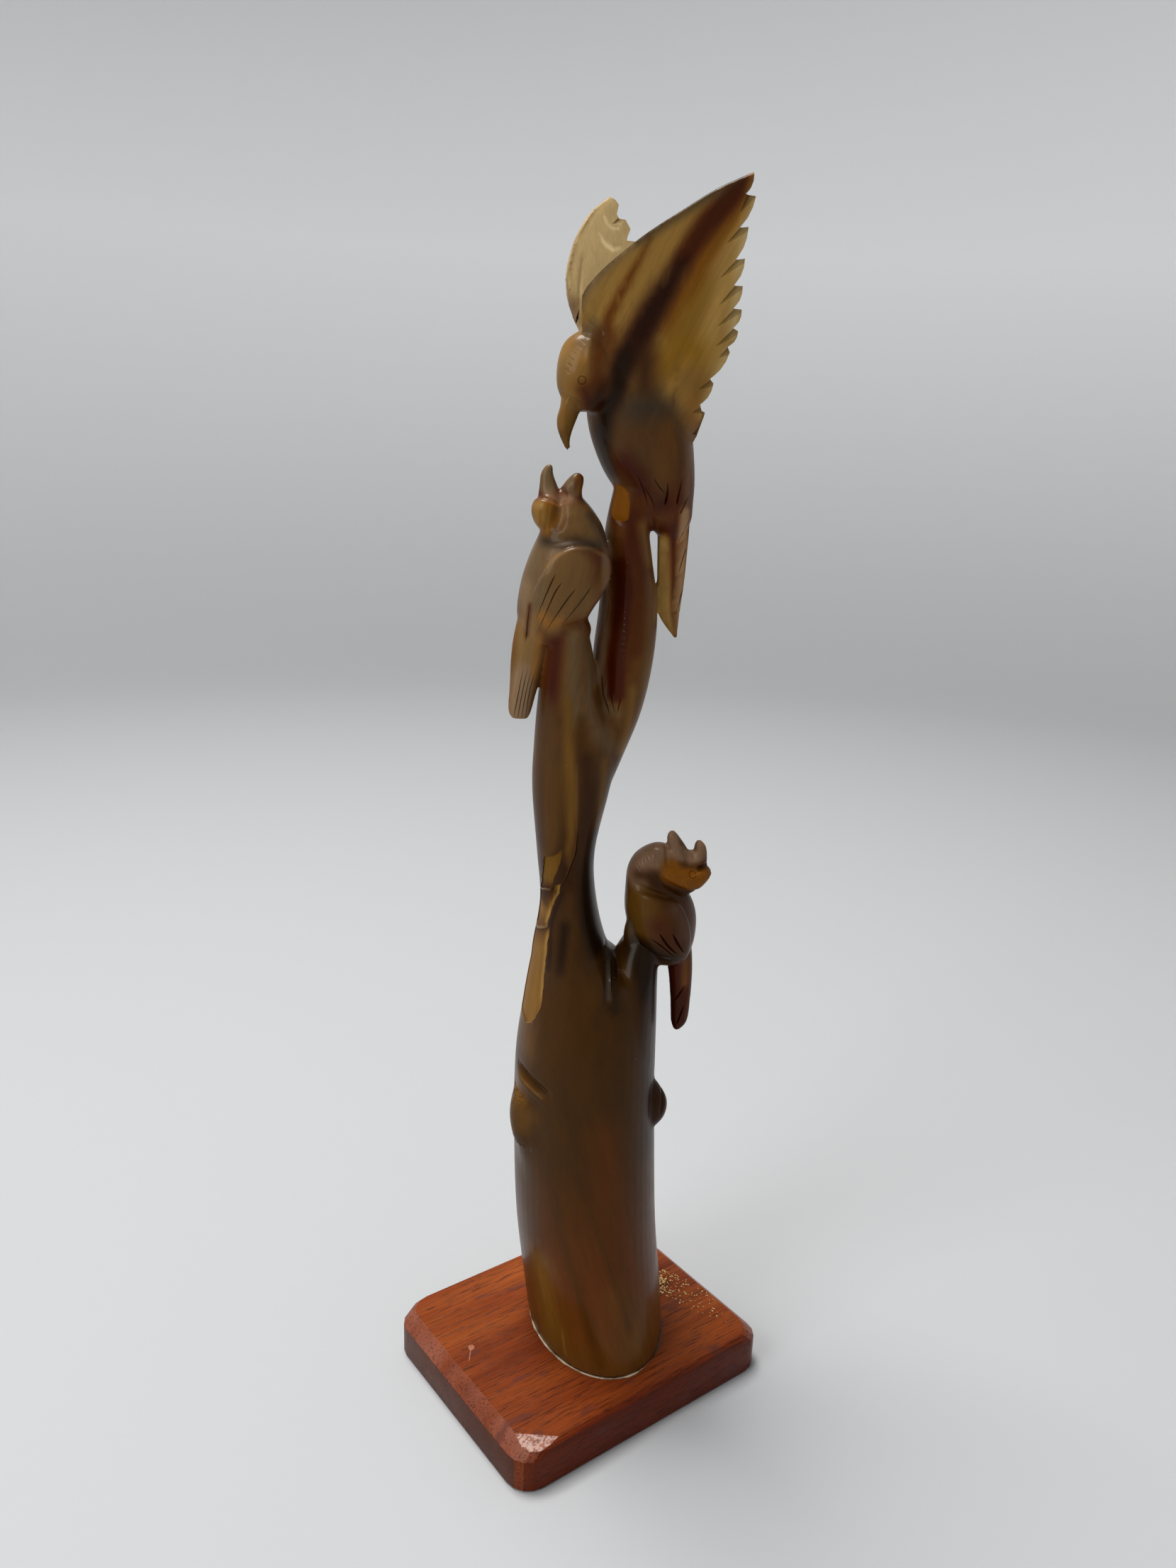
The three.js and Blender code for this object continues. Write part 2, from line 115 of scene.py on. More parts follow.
def between(a, b, c, d, t):
    # a Catmull-Rom curve from b to c, for numbers or whole rows
    bend, twist = 2 * a - 5 * b + 4 * c - d, 3 * b - a - 3 * c + d
    return 0.5 * (2 * b + (c - a) * t + bend * t * t + twist * t ** 3)


def throughStations(stations, steps):
    rows = [np.array(list(s) + [0] * (6 - len(s)), float) for s in stations]
    smooth = []
    for i in range(len(rows) - 1):
        a, b, c, d = rows[max(i - 1, 0)], rows[i], rows[i + 1], rows[min(i + 2, len(rows) - 1)]
        smooth += [between(a, b, c, d, k / steps) for k in range(steps)]
    return smooth + [rows[-1]]


def along(points, share):
    # a point on a smooth line through [x, z] points, share 0 to 1
    last = len(points) - 1
    i = min(int(share * last), last - 1)
    rows = [np.array(points[min(max(k, 0), last)], float) for k in range(i - 1, i + 3)]
    return between(*rows, share * last - i)


def limb(name, stations, sides=28, steps=4, level=False):
    # bridged ovals along the stations: x, y, z, half width, half depth and, where it isn't 0, the turn
    rows = throughStations(stations, steps)
    last = len(rows) - 1
    for i, row in enumerate(rows):
        here = Vector(row[:3])
        run = Vector(rows[min(i + 1, last)][:3]) - Vector(rows[max(i - 1, 0)][:3])
        heading = Vector((0, 0, 1)) if level else run.normalized()
        behind = (Vector((0, 1, 0)) - heading * heading.y).normalized()
        axes = Matrix((behind.cross(heading), behind, heading)).transposed()
        axes = axes @ Matrix.Rotation(math.radians(row[5]), 3, "Z")
        if i > 0:
            bpy.ops.mesh.select_all(action="DESELECT")
        bpy.ops.mesh.primitive_circle_add(
            vertices=sides, radius=1, fill_type="NGON" if i in (0, last) else "NOTHING",
            location=here, rotation=axes.to_euler())
        if i == 0:
            obj = bpy.context.object
            obj.name = name
            obj.data.transform(obj.matrix_world)
            obj.matrix_world = Matrix()
            bpy.ops.object.mode_set(mode="EDIT")
            bpy.ops.mesh.select_mode(type="EDGE")
            bpy.ops.mesh.select_all(action="SELECT")
        bpy.ops.transform.resize(
            value=(max(row[3], 0.05), max(row[4], 0.05), 1), orient_type="GLOBAL",
            orient_matrix=axes.transposed(), orient_matrix_type="GLOBAL", center_override=here)
    bpy.ops.mesh.select_all(action="SELECT")
    bpy.ops.mesh.bridge_edge_loops()
    bpy.ops.mesh.select_all(action="SELECT")
    bpy.ops.mesh.normals_make_consistent(inside=False)
    bpy.ops.object.mode_set(mode="OBJECT")
    return obj


def remesh(obj, size, passes):
    grid = obj.modifiers.new("Grid", "REMESH")
    grid.mode = "VOXEL"
    grid.voxel_size = size
    soften = obj.modifiers.new("Soften", "SMOOTH")
    soften.factor = 0.5
    soften.iterations = passes
    applyModifiers(obj)


def cutWith(obj, knife):
    cut = obj.modifiers.new("Cut", "BOOLEAN")
    cut.object = knife
    cut.operation = "DIFFERENCE"
    cut.solver = "MANIFOLD"
    cut.material_mode = "TRANSFER"
    applyModifiers(obj)
    bpy.data.objects.remove(knife)


def shellFrom(name, ringSets, material, looped=False):
    # a closed skin over rings of points, capped at both ends or joined into a loop
    obj = emptyMesh(name)
    bm = bmesh.new()
    for rings in ringSets:
        grid = [[bm.verts.new(p) for p in ring] for ring in rings]
        count = len(grid[0])
        for a, b in zip(grid, grid[1:] + (grid[:1] if looped else [])):
            for k in range(count):
                bm.faces.new((a[k], a[(k + 1) % count], b[(k + 1) % count], b[k]))
        if not looped:
            bm.faces.new(list(reversed(grid[0])))
            bm.faces.new(grid[-1])
    bmesh.ops.recalc_face_normals(bm, faces=bm.faces)
    bm.to_mesh(obj.data)
    bm.free()
    obj.data.materials.append(material)
    return obj


def smoothStep(low, high, value):
    t = np.clip((value - low) / (high - low), 0, 1)
    return t * t * (3 - 2 * t)


# Colours and nodes

def asLight(tones):
    # colours as seen on a screen, 0 to 255, as light
    tones = np.clip(tones, 0, 255) / 255
    return np.where(tones <= 0.04045, tones / 12.92, ((tones + 0.055) / 1.055) ** 2.4)


def linear(red, green, blue):
    return tuple(asLight((red, green, blue)).tolist())


def opaque(colour):
    # a colour, or one number for a grey
    return (*colour, 1) if isinstance(colour, tuple) else (colour, colour, colour, 1)


def feed(node, inputs):
    # each input gets another node's output, or a value
    for key, value in inputs.items():
        socket = node.inputs[key]
        if isinstance(value, bpy.types.NodeSocket):
            socket.id_data.links.new(value, socket)
        else:
            socket.default_value = opaque(value) if socket.type == "RGBA" else value


def nodeIn(tree, kind, inputs=None, **settings):
    # nodes fill a grid in the order they are made
    column, row = len(tree.nodes) % 6, len(tree.nodes) // 6
    made = tree.nodes.new(kind)
    made.location = (260 * column, -340 * row)
    for key, value in settings.items():
        setattr(made, key, value)
    feed(made, inputs or {})
    return made


def maths(tree, operation, first, second=0.0, clamp=False):
    inputs = {0: first, 1: second}
    return nodeIn(tree, "ShaderNodeMath", inputs, operation=operation, use_clamp=clamp).outputs[0]


def noiseIn(tree, place, scale, detail, **more):
    inputs = {"Vector": place, "Scale": scale, "Detail": detail, **more}
    return nodeIn(tree, "ShaderNodeTexNoise", inputs).outputs["Fac"]


def stretchedNoise(tree, place, scale, detail, distortion=0):
    # scale is along x, y and z, so a small one draws the noise out
    drawn = nodeIn(tree, "ShaderNodeMapping", {"Vector": place, "Scale": scale}).outputs[0]
    return noiseIn(tree, drawn, 1, detail, Distortion=distortion)


def maskFrom(tree, value, low, high):
    # 0 below low and 1 above high
    inputs = {"Value": value, "From Min": low, "From Max": high}
    return nodeIn(tree, "ShaderNodeMapRange", inputs, interpolation_type="SMOOTHSTEP").outputs[0]


def ramp(tree, value, stops):
    made = nodeIn(tree, "ShaderNodeValToRGB", {0: value})
    elements = made.color_ramp.elements
    while len(elements) < len(stops):
        elements.new(0.5)
    for element, (position, colour) in zip(elements, stops):
        element.position = position
        element.color = opaque(colour)
    return made.outputs[0]


def mixInto(tree, kind, factor, first, second):
    # MIX lays the second colour over the first, MULTIPLY tints with it and may brighten past white
    inputs = {0: factor, 6: first, 7: second}
    return nodeIn(tree, "ShaderNodeMix", inputs, data_type="RGBA", blend_type=kind,
                  clamp_result=kind == "MIX").outputs[2]


def bumpFrom(tree, height, strength, distance):
    inputs = {"Height": height, "Strength": strength, "Distance": distance}
    return nodeIn(tree, "ShaderNodeBump", inputs).outputs[0]


def painted(tree, layer, output):
    return nodeIn(tree, "ShaderNodeAttribute", attribute_name=layer).outputs[output]


# Shader groups that several finishes share

def newGroup(name, inputs, outputs):
    group = bpy.data.node_groups.new(name, "ShaderNodeTree")
    socket = group.interface.new_socket
    socket(name="Vector", in_out="INPUT", socket_type="NodeSocketVector")
    for title, value in inputs.items():
        socket(name=title, in_out="INPUT", socket_type="NodeSocketFloat").default_value = value
    for title in outputs:
        socket(name=title, in_out="OUTPUT", socket_type="NodeSocketFloat")
    return group, nodeIn(group, "NodeGroupInput").outputs, nodeIn(group, "NodeGroupOutput")


def buildStreakGroup():
    # long fibres along one axis: a fine and a broad noise, stretched
    group, given, out = newGroup("streaks", {"Fine": 900, "Broad": 130, "Stretch": 0.05},
                                 ("Fine streaks", "Broad streaks"))
    split = nodeIn(group, "ShaderNodeSeparateXYZ", {0: given["Vector"]}).outputs
    drawn = maths(group, "MULTIPLY", split["Z"], given["Stretch"])
    place = nodeIn(group, "ShaderNodeCombineXYZ", {"X": split["X"], "Y": split["Y"], "Z": drawn}).outputs[0]
    feed(out, {
        "Fine streaks": noiseIn(group, place, given["Fine"], 3, Roughness=0.6),
        "Broad streaks": noiseIn(group, place, given["Broad"], 2, Distortion=0.4),
    })
    return group


def buildWearGroup():
    # polish wear: a soft cloud for gloss, fine scratches and pits for the bump
    group, given, out = newGroup("handling wear", {"Roughness": 0.35, "Spread": 0.1}, ("Roughness", "Height"))
    place = given["Vector"]
    cloud = maths(group, "SUBTRACT", noiseIn(group, place, 90, 4, Roughness=0.65), 0.5)
    spread = maths(group, "MULTIPLY", cloud, given["Spread"])
    swell = maths(group, "MULTIPLY", noiseIn(group, place, 160, 2), 4)
    feed(out, {
        "Roughness": maths(group, "ADD", spread, given["Roughness"], clamp=True),
        "Height": maths(group, "ADD", noiseIn(group, place, 1400, 3), swell),
    })
    return group


streakGroup = buildStreakGroup()
wearGroup = buildWearGroup()


def freshMaterial(name):
    material = bpy.data.materials.new(name)
    material.use_nodes = True
    tree = material.node_tree
    tree.nodes.clear()
    shader = nodeIn(tree, "ShaderNodeBsdfPrincipled")
    nodeIn(tree, "ShaderNodeOutputMaterial", {0: shader.outputs[0]})
    place = nodeIn(tree, "ShaderNodeTexCoord").outputs["Object"]
    return material, tree, shader, place


# Horn

hornLook = {
    # shade, roughness, relief and painted layer
    "finishes": {
        "polished": (1, 0.36, 0.12, "hornTone"),
        "engraved": (0.6, 0.6, 0.25, "hornTone"),
        "cut": (0.64, 0.5, 0.25, "hornTone"),
        "flaked": (1, 0.6, 0.25, "flakeTone"),
    },
    "roughnessSpread": 0.2,
    "reliefHeight": 0.00012,
    "streaks": {"Fine": 1500, "Broad": 210, "Stretch": 0.06},
    "streakStrength": 0.35,
    "fineShade": [(0.3, 0.72), (0.7, 1.22)],  # brightness at two heights of the noise
    "broadShade": [(0.3, 0.66), (0.72, 1.3)],
    "speckScale": 420,
    "speckEdge": [(0.03, 1), (0.055, 0)],
    "speckRarity": 0.93,  # the share of cells that stay bare
    "speckTone": linear(150, 120, 80),
    "ior": 1.5,
    "gloss": 0.1,
    "sheenTone": (1, 0.8, 0.5),
    "polish": 0.12,
    "polishRoughness": 0.12,
}


def hornFinish(kind, shade, roughness, relief, layer):
    look = hornLook
    material, tree, shader, place = freshMaterial(kind + " horn")
    fibres = painted(tree, "fibres", "Vector")
    streaks = nodeIn(tree, "ShaderNodeGroup", {"Vector": fibres, **look["streaks"]}, node_tree=streakGroup)
    colour = painted(tree, layer, "Color")
    for title, stops in (("Fine streaks", look["fineShade"]), ("Broad streaks", look["broadShade"])):
        tint = ramp(tree, streaks.outputs[title], stops)
        colour = mixInto(tree, "MULTIPLY", look["streakStrength"], colour, tint)
    specks = nodeIn(tree, "ShaderNodeTexVoronoi", {"Vector": place, "Scale": look["speckScale"]}).outputs
    chosen = maths(tree, "GREATER_THAN", specks["Color"], look["speckRarity"])
    here = maths(tree, "MULTIPLY", ramp(tree, specks["Distance"], look["speckEdge"]), chosen)
    colour = mixInto(tree, "MIX", here, colour, look["speckTone"])
    if shade != 1:
        colour = mixInto(tree, "MULTIPLY", 1, colour, shade)
    wear = nodeIn(tree, "ShaderNodeGroup", {"Vector": place, "Roughness": roughness,
                                            "Spread": look["roughnessSpread"]}, node_tree=wearGroup)
    feed(shader, {
        "Base Color": colour,
        "Roughness": wear.outputs["Roughness"],
        "Normal": bumpFrom(tree, wear.outputs["Height"], relief, look["reliefHeight"]),
        "IOR": look["ior"],
        "Specular IOR Level": look["gloss"],
        "Specular Tint": look["sheenTone"],
    })
    if kind == "polished":
        coat = maths(tree, "MULTIPLY", painted(tree, "polish", "Fac"), look["polish"])
        feed(shader, {"Coat Weight": coat, "Coat Roughness": look["polishRoughness"]})
    return material


horn = {kind: hornFinish(kind, *values) for kind, values in hornLook["finishes"].items()}
print("horn finishes made")


# The tree: trunk, two forks and the knots

treeShape = {
    "trunk": [
        (-0.3, 0, bench["top"], 22.2, 34, -16), (-1.7, 0, 30, 23, 33, -14), (-4.4, 0, 55, 23.4, 31.4, -11),
        (-5.8, 0, 85, 23.4, 29, -8), (-6.4, 0, 114, 22.8, 26, -4), (-6, 0, 132, 21.2, 22.8),
        (-6.6, 0, 142, 19.2, 20.6), (-10.2, 0, 148, 14.6, 18.8), (-12.4, 0, 153, 11.9, 17.4),
        (-13.4, 0, 168, 8.9, 14.4), (-14.6, 0, 184, 9.1, 12.5), (-13.6, 0, 204, 12, 12),
        (-12.5, -1, 218, 12.8, 11.5), (-15, -3, 234, 9.2, 9.5), (-15.4, -4, 247, 7.2, 8),
        (-16, -4.5, 256, 5.4, 6),
    ],
    "rightStump": [
        (2.6, 0, 110, 14.2, 20), (4.8, 0, 130, 11.6, 18), (7.8, 0, 142, 8.3, 14), (9, 0, 150, 7.2, 9.5),
        (11, 0, 157, 5.4, 6),
    ],
    "topBranch": [
        (-11, 1, 196, 6, 9.5), (-5.2, 2, 214, 7.2, 9.5), (-0.6, 3, 229, 8, 9.5), (1, 4, 245, 9.3, 9.5),
        (1.9, 4, 260, 8.8, 9), (1, 3.5, 275, 7.3, 8), (0.9, 3, 284, 6.6, 7.5), (4, 2, 296, 7.4, 7),
    ],
    "rightKnot": [
        (15.2, -6, 91.4, 2, 2.5), (15.8, -6, 96, 4.7, 4.6), (16, -6, 101.6, 4.8, 4.6),
        (15.4, -6, 107.4, 2, 2.5),
    ],
    "leftCollar": [(-14.4, -5, 250, 4.6, 6), (-14, -5, 253.6, 5.2, 6.6), (-14.2, -5, 256, 4.6, 6)],
    "stub": [
        (8.8, -2, 150, 4, 4), (7.6, -2.4, 156, 3.2, 3.4), (7.2, -2.6, 161, 2.2, 2.6),
        (7.6, -2.6, 163, 0.6, 1),
    ],
}
treeHollow = [(-7.6, -12, 222, 4.4, 7), (-7.4, -10.5, 236, 6.6, 8), (-8.6, -9, 252, 6.4, 8),
              (-9, -9, 268, 5, 7)]


def makeTree():
    sides = {"trunk": 48}
    parts = [limb(name, rows, sides.get(name, 32), 5, level=True) for name, rows in treeShape.items()]
    cutWith(bpy.data.objects["topBranch"], limb("hollow", treeHollow, 32))
    return parts


# Wing blades: a sheet between a leading and a trailing edge, thick at the root

nearWing = {
    "lead": [(-5, 312), (-11.6, 326), (-14.4, 341), (-11.4, 348), (0.1, 357.6), (10.9, 364.6), (20, 370.2),
             (29.2, 374.6)],
    "trail": [(18, 308), (23, 318), (27.6, 328), (30.2, 338), (30.6, 348), (31, 358), (31.8, 368),
              (30.4, 374.4)],
    "depth": lambda x, z: (-8 - 0.17 * (z - 310) + 0.006 * (x - 4) ** 2 + 5 * max(0, (331 - z) / 22) ** 2),
    "edge": 0.75,
    "middle": 1.4,
    "root": 3,
    "thickest": 5,
}
farWing = {
    "lead": [(-4, 318), (-10, 330), (-16.8, 341), (-19.3, 351), (-17.8, 361), (-13.6, 370), (-8.4, 375.4)],
    "trail": [(15, 312), (14.6, 324), (12, 336), (9, 347), (5.8, 357), (1.8, 366), (-4.4, 375.6)],
    "depth": lambda x, z: 9 + 0.26 * (z - 314) + 0.55 * (x + 8) * min(1, (z - 312) / 34),
    "edge": 0.75,
    "middle": 1.2,
    "root": 3.5,
    "thickest": 5,
}


def blade(name, wing):
    across, up = 46, 70
    bpy.ops.mesh.primitive_grid_add(x_subdivisions=across, y_subdivisions=up, size=2)
    obj = bpy.context.object
    obj.name = name
    thick = obj.vertex_groups.new(name="thick")
    for vertex in obj.data.vertices:
        u, v = (vertex.co.x + 1) / 2, (vertex.co.y + 1) / 2
        x, z = along(wing["lead"], v) * (1 - u) + along(wing["trail"], v) * u
        vertex.co = (x, wing["depth"](x, z), z)
        swell = math.sqrt(max(0, math.sin(math.pi * min(max(u, 0.02), 0.98))))
        half = wing["edge"] + (wing["middle"] * (1 - 0.5 * v) + wing["root"] * (1 - v) ** 3) * swell
        thick.add([vertex.index], half / wing["thickest"], "REPLACE")
    solid = obj.modifiers.new("Thickness", "SOLIDIFY")
    solid.thickness = 2 * wing["thickest"]
    solid.offset = 0
    solid.vertex_group = "thick"
    applyModifiers(obj)
    return obj


# The birds: the left chick looks up to the right with its head thrown back, and the
# right chick's neck arches over, so that its bill points back up

adult = {
    "body": [
        (13.4, 5, 279, 1.6, 1.4), (12.4, 4.6, 284.6, 6.8, 5.4), (9.8, 4, 290.4, 9.9, 8.4),
        (6.6, 3, 298, 13.1, 11), (3.5, 1, 309, 14.8, 13), (1.8, 0, 319, 14.4, 13), (0, -1, 329, 11, 11),
        (-1, -1, 337, 3.6, 4.6),
    ],
    "head": [
        (-11, -7.6, 336.4, 2.4, 2), (-11.8, -8.2, 332.6, 7, 5.4), (-12.5, -8.8, 326, 8.3, 7.2),
        (-12.7, -9, 319, 7.4, 6.4), (-12.6, -9, 314.4, 3.2, 3.6),
    ],
    "neck": [(-14, -8.8, 325, 7.4, 6.8), (-8, -8, 324.4, 9.6, 6.9), (0, -5, 322.4, 11, 8)],
    "beak": [
        (-14, -9.4, 322, 6.4, 5), (-15.6, -9.9, 317.8, 5.2, 4.2), (-17.3, -10.2, 313.4, 3.5, 3),
        (-18, -10.4, 309.4, 2.1, 1.9), (-17.6, -10.5, 306.2, 1.1, 1), (-16.8, -10.5, 304.2, 0.3, 0.3),
    ],
    "tail": [
        (13.2, 5, 297, 6.8, 4.6), (14.3, 6, 284, 5.5, 3.4), (14.4, 7, 268, 4.7, 2.8),
        (14.3, 7.5, 258, 3.8, 2.2), (16.8, 8, 250.2, 0.5, 0.5),
    ],
}
leftChick = {
    "body": [
        (-20.6, -5, 249, 7, 5), (-20.4, -5, 257, 10.4, 9), (-17.6, -5, 266, 12.5, 11),
        (-16, -5, 274, 11.8, 10.6), (-15.2, -5, 281, 9.6, 8.4), (-15.4, -5, 286, 7.2, 6.6),
        (-16.4, -5, 289.6, 4, 5),
    ],
    "nape": [
        (-12.6, -5, 275, 7, 7.6), (-12.2, -5, 282, 6.2, 7), (-13.6, -5, 287, 4.8, 6),
        (-15.4, -5, 290.8, 3.2, 4.2), (-16, -5, 292.8, 0.8, 1.4),
    ],
    "cheek": [
        (-22, -7, 281, 1.2, 1.4), (-22.3, -7, 283.4, 3.6, 3.8), (-22.6, -7, 287, 4.6, 4.8),
        (-22.8, -7, 290, 3.7, 3.9), (-22.8, -7, 291.9, 1.4, 1.6),
    ],
    "upperBill": [
        (-21.6, -5.4, 288.6, 4.6, 3.8), (-22, -5.4, 292, 3.3, 2.9), (-22.5, -5.4, 294.6, 2.5, 2.2),
        (-22.9, -5.4, 297.4, 1.8, 1.7), (-22.5, -5.4, 299.3, 1.2, 1.1), (-22.2, -5.4, 300.1, 0.5, 0.5),
    ],
    "lowerBill": [
        (-16, -5.4, 288, 4, 4), (-16.2, -5.4, 292.6, 3.4, 3), (-15, -5.4, 295.5, 2.6, 2.3),
        (-14.4, -5.4, 297.1, 1.8, 1.6), (-14.3, -5.4, 298, 0.6, 0.6),
    ],
    "tail": [
        (-22, -5, 262, 7.4, 5), (-26, -6, 249, 6, 3.4), (-28.4, -6.6, 236, 4.2, 2.4),
        (-29.4, -6.8, 229, 3.4, 1.9), (-29.3, -6.8, 226.6, 2.2, 1),
    ],
}
rightChick = {
    "body": [
        (19, 0, 147, 5, 4), (17.6, 0, 154, 9.4, 8.2), (16.2, 0, 163, 11.3, 10.2), (14.8, 0, 170, 10.4, 9.6),
        (12.4, 0, 177, 7.4, 7.4), (11.8, 0, 182, 4, 4.4),
    ],
    "dome": [
        (12.6, -0.2, 168, 7.6, 8), (12.3, -0.4, 174, 7.8, 7.6), (12.5, -0.6, 179, 7.6, 7.2),
        (13.3, -0.8, 183, 6.6, 6.4), (14.2, -1, 185.6, 4.6, 4.6), (14.6, -1, 187.2, 1.8, 1.8),
    ],
    "face": [
        (12, -0.6, 178, 4, 5), (16, -1.2, 178.4, 5.8, 6.4), (20, -1.5, 177.4, 6, 6),
        (24, -1.5, 176.7, 5.4, 5.3), (28, -1.5, 177, 4.2, 4.2), (30.4, -1.5, 178.2, 2.2, 2.4),
        (31, -1.5, 178.8, 0.6, 0.8),
    ],
    "lowerBill": [
        (20.4, -1.5, 180, 4.6, 4.2), (20.3, -1.5, 183.6, 4.1, 3.4), (19.8, -1.5, 186.4, 3.2, 2.6),
        (19, -1.5, 188.8, 2.3, 2), (18.5, -1.5, 190.4, 1.6, 1.5), (18.3, -1.5, 191.6, 0.6, 0.6),
    ],
    "upperBill": [
        (26.4, -1.5, 179.6, 3.6, 3.6), (26.9, -1.5, 183.2, 2.7, 2.7), (27.3, -1.5, 185.6, 2.1, 2.1),
        (27.1, -1.5, 187.5, 1.6, 1.6), (26.8, -1.5, 188.8, 0.6, 0.7),
    ],
    "gape": [(23.4, -1.5, 180, 4, 3.4), (23.8, -1.5, 183.6, 2.8, 2.4), (24.2, -1.5, 185.3, 1.4, 1.4)],
    "tail": [
        (20.6, 0.5, 158, 5.4, 4.4), (23.2, 1, 146, 4.1, 3), (24, 1.4, 134, 3.3, 2.2),
        (24, 1.6, 126, 2.7, 1.8), (23.4, 1.6, 122.6, 1, 0.8),
    ],
}


def limbsOf(bird, names, level=True):
    return [limb(name, bird[name], level=level) for name in names]


def makeBirds():
    soft = limbsOf(adult, ["body", "head"]) + limbsOf(adult, ["neck"], level=False)
    soft += limbsOf(leftChick, ["body", "nape", "cheek"])
    soft += limbsOf(rightChick, ["body", "dome"]) + limbsOf(rightChick, ["face"], level=False)
    crisp = limbsOf(adult, ["beak"], level=False)
    crisp += limbsOf(leftChick, ["upperBill", "lowerBill", "tail"])
    crisp += limbsOf(rightChick, ["lowerBill", "upperBill", "gape", "tail"])
    crisp.append(limb("adultTail", adult["tail"], 6, 6, level=True))
    crisp += [blade("nearWing", nearWing), blade("farWing", farWing)]
    return soft, crisp


treeParts = makeTree()
softParts, crispParts = makeBirds()
carving = joinPieces(treeParts + softParts, "carving")
remesh(carving, bench["softGrid"], bench["softPasses"])
carving = joinPieces([carving] + crispParts, "carving")
remesh(carving, bench["fineGrid"], bench["finePasses"])
print("carving roughed out:", len(carving.data.polygons), "faces")


# Modelling while the form is still soft: furrows, welts and raised leaves

class Surface:
    # finds where a line from the front, or the back, meets the carving
    def __init__(self, obj):
        bm = bmesh.new()
        bm.from_mesh(obj.data)
        self.tree = BVHTree.FromBMesh(bm)
        bm.free()

    def at(self, x, z, fromBack=False):
        side = 1 if fromBack else -1
        return self.tree.ray_cast(Vector((x, side * bench["clear"], z)), Vector((0, -side, 0)))[:2]

    def path(self, points, steps, fromBack=False):
        # a smooth line of [x, z] points laid on the surface: share, place, normal
        count = (len(points) - 1) * steps
        laid = [(k / count, *self.at(*along(points, k / count), fromBack)) for k in range(count + 1)]
        return [step for step in laid if step[1] is not None]


def insideOutline(x, z, line):
    inside = np.zeros(len(x), bool)
    for (x0, z0), (x1, z1) in zip(line, np.roll(line, -1, axis=0)):
        crosses = (z0 > z) != (z1 > z)
        inside ^= crosses & (x < (x1 - x0) * (z - z0) / (z1 - z0 + 1e-12) + x0)
    return inside


def gapToLine(x, z, line):
    # the distance to a line of [x, z] or [x, z, half width] points, less the half width
    best = np.full(len(x), 1e9)
    for a, b in zip(line, line[1:] if len(line) > 1 else line):
        run = b[:2] - a[:2]
        share = np.clip(((x - a[0]) * run[0] + (z - a[1]) * run[1]) / max(run @ run, 1e-9), 0, 1)
        gap = np.hypot(x - a[0] - share * run[0], z - a[1] - share * run[1])
        if len(a) > 2:
            gap = gap - a[2] - share * (b[2] - a[2])
        best = np.minimum(best, gap)
    return best


def meshArrays(mesh):
    count = len(mesh.vertices)
    places, normals = np.empty(count * 3), np.empty(count * 3)
    mesh.vertices.foreach_get("co", places)
    mesh.vertices.foreach_get("normal", normals)
    return places.reshape(-1, 3), normals.reshape(-1, 3)


class Clay:
    def __init__(self, obj):
        self.mesh = obj.data
        self.places, self.normals = meshArrays(obj.data)
        self.surface = Surface(obj)

    def crease(self, points, width, depth, fromBack=False):
        # a rounded furrow along the points, or a welt where the depth is negative
        laid = self.surface.path(points, 10, fromBack)
        samples = np.array([place for _, place, _ in laid])
        sizes = np.sqrt(np.sin(np.pi * np.clip([share for share, _, _ in laid], 0.02, 0.98)))
        low, high = samples.min(0) - 2.6 * width, samples.max(0) + 2.6 * width
        near = np.where(np.all((self.places > low) & (self.places < high), 1))[0]
        gaps = np.linalg.norm(self.places[near][:, None] - samples[None], axis=2)
        nearest = gaps.argmin(1)
        fall = np.exp(-(gaps[np.arange(len(near)), nearest] / width) ** 2) * sizes[nearest]
        self.places[near] -= self.normals[near] * (depth * fall)[:, None]

    def leaf(self, outline, height, edge, fade=None):
        # an area of the face raised above its surroundings, with a rounded rim
        count = len(outline) * 6
        closed = list(outline) + [outline[0]]
        line = np.array([along(closed, k / count) for k in range(count)])
        x, z = self.places[:, 0], self.places[:, 2]
        low, high = line.min(0), line.max(0)
        inBox = (x > low[0]) & (x < high[0]) & (z > low[1]) & (z < high[1])
        near = np.where(inBox & (self.normals[:, 1] < 0.1))[0]
        near = near[insideOutline(x[near], z[near], line)]
        gap = gapToLine(x[near], z[near], np.vstack([line, line[:1]]))
        rise = np.clip(gap / edge, 0, 1)
        amount = height * np.sqrt(rise * (2 - rise))
        if fade:
            start, end = np.array(fade[0]), np.array(fade[1])
            run = end - start
            share = ((x[near] - start[0]) * run[0] + (z[near] - start[1]) * run[1]) / (run @ run)
            amount = amount * smoothStep(0, 1, share)
        self.places[near] += self.normals[near] * amount[:, None]

    def done(self):
        self.mesh.vertices.foreach_set("co", self.places.ravel())
        self.mesh.update()


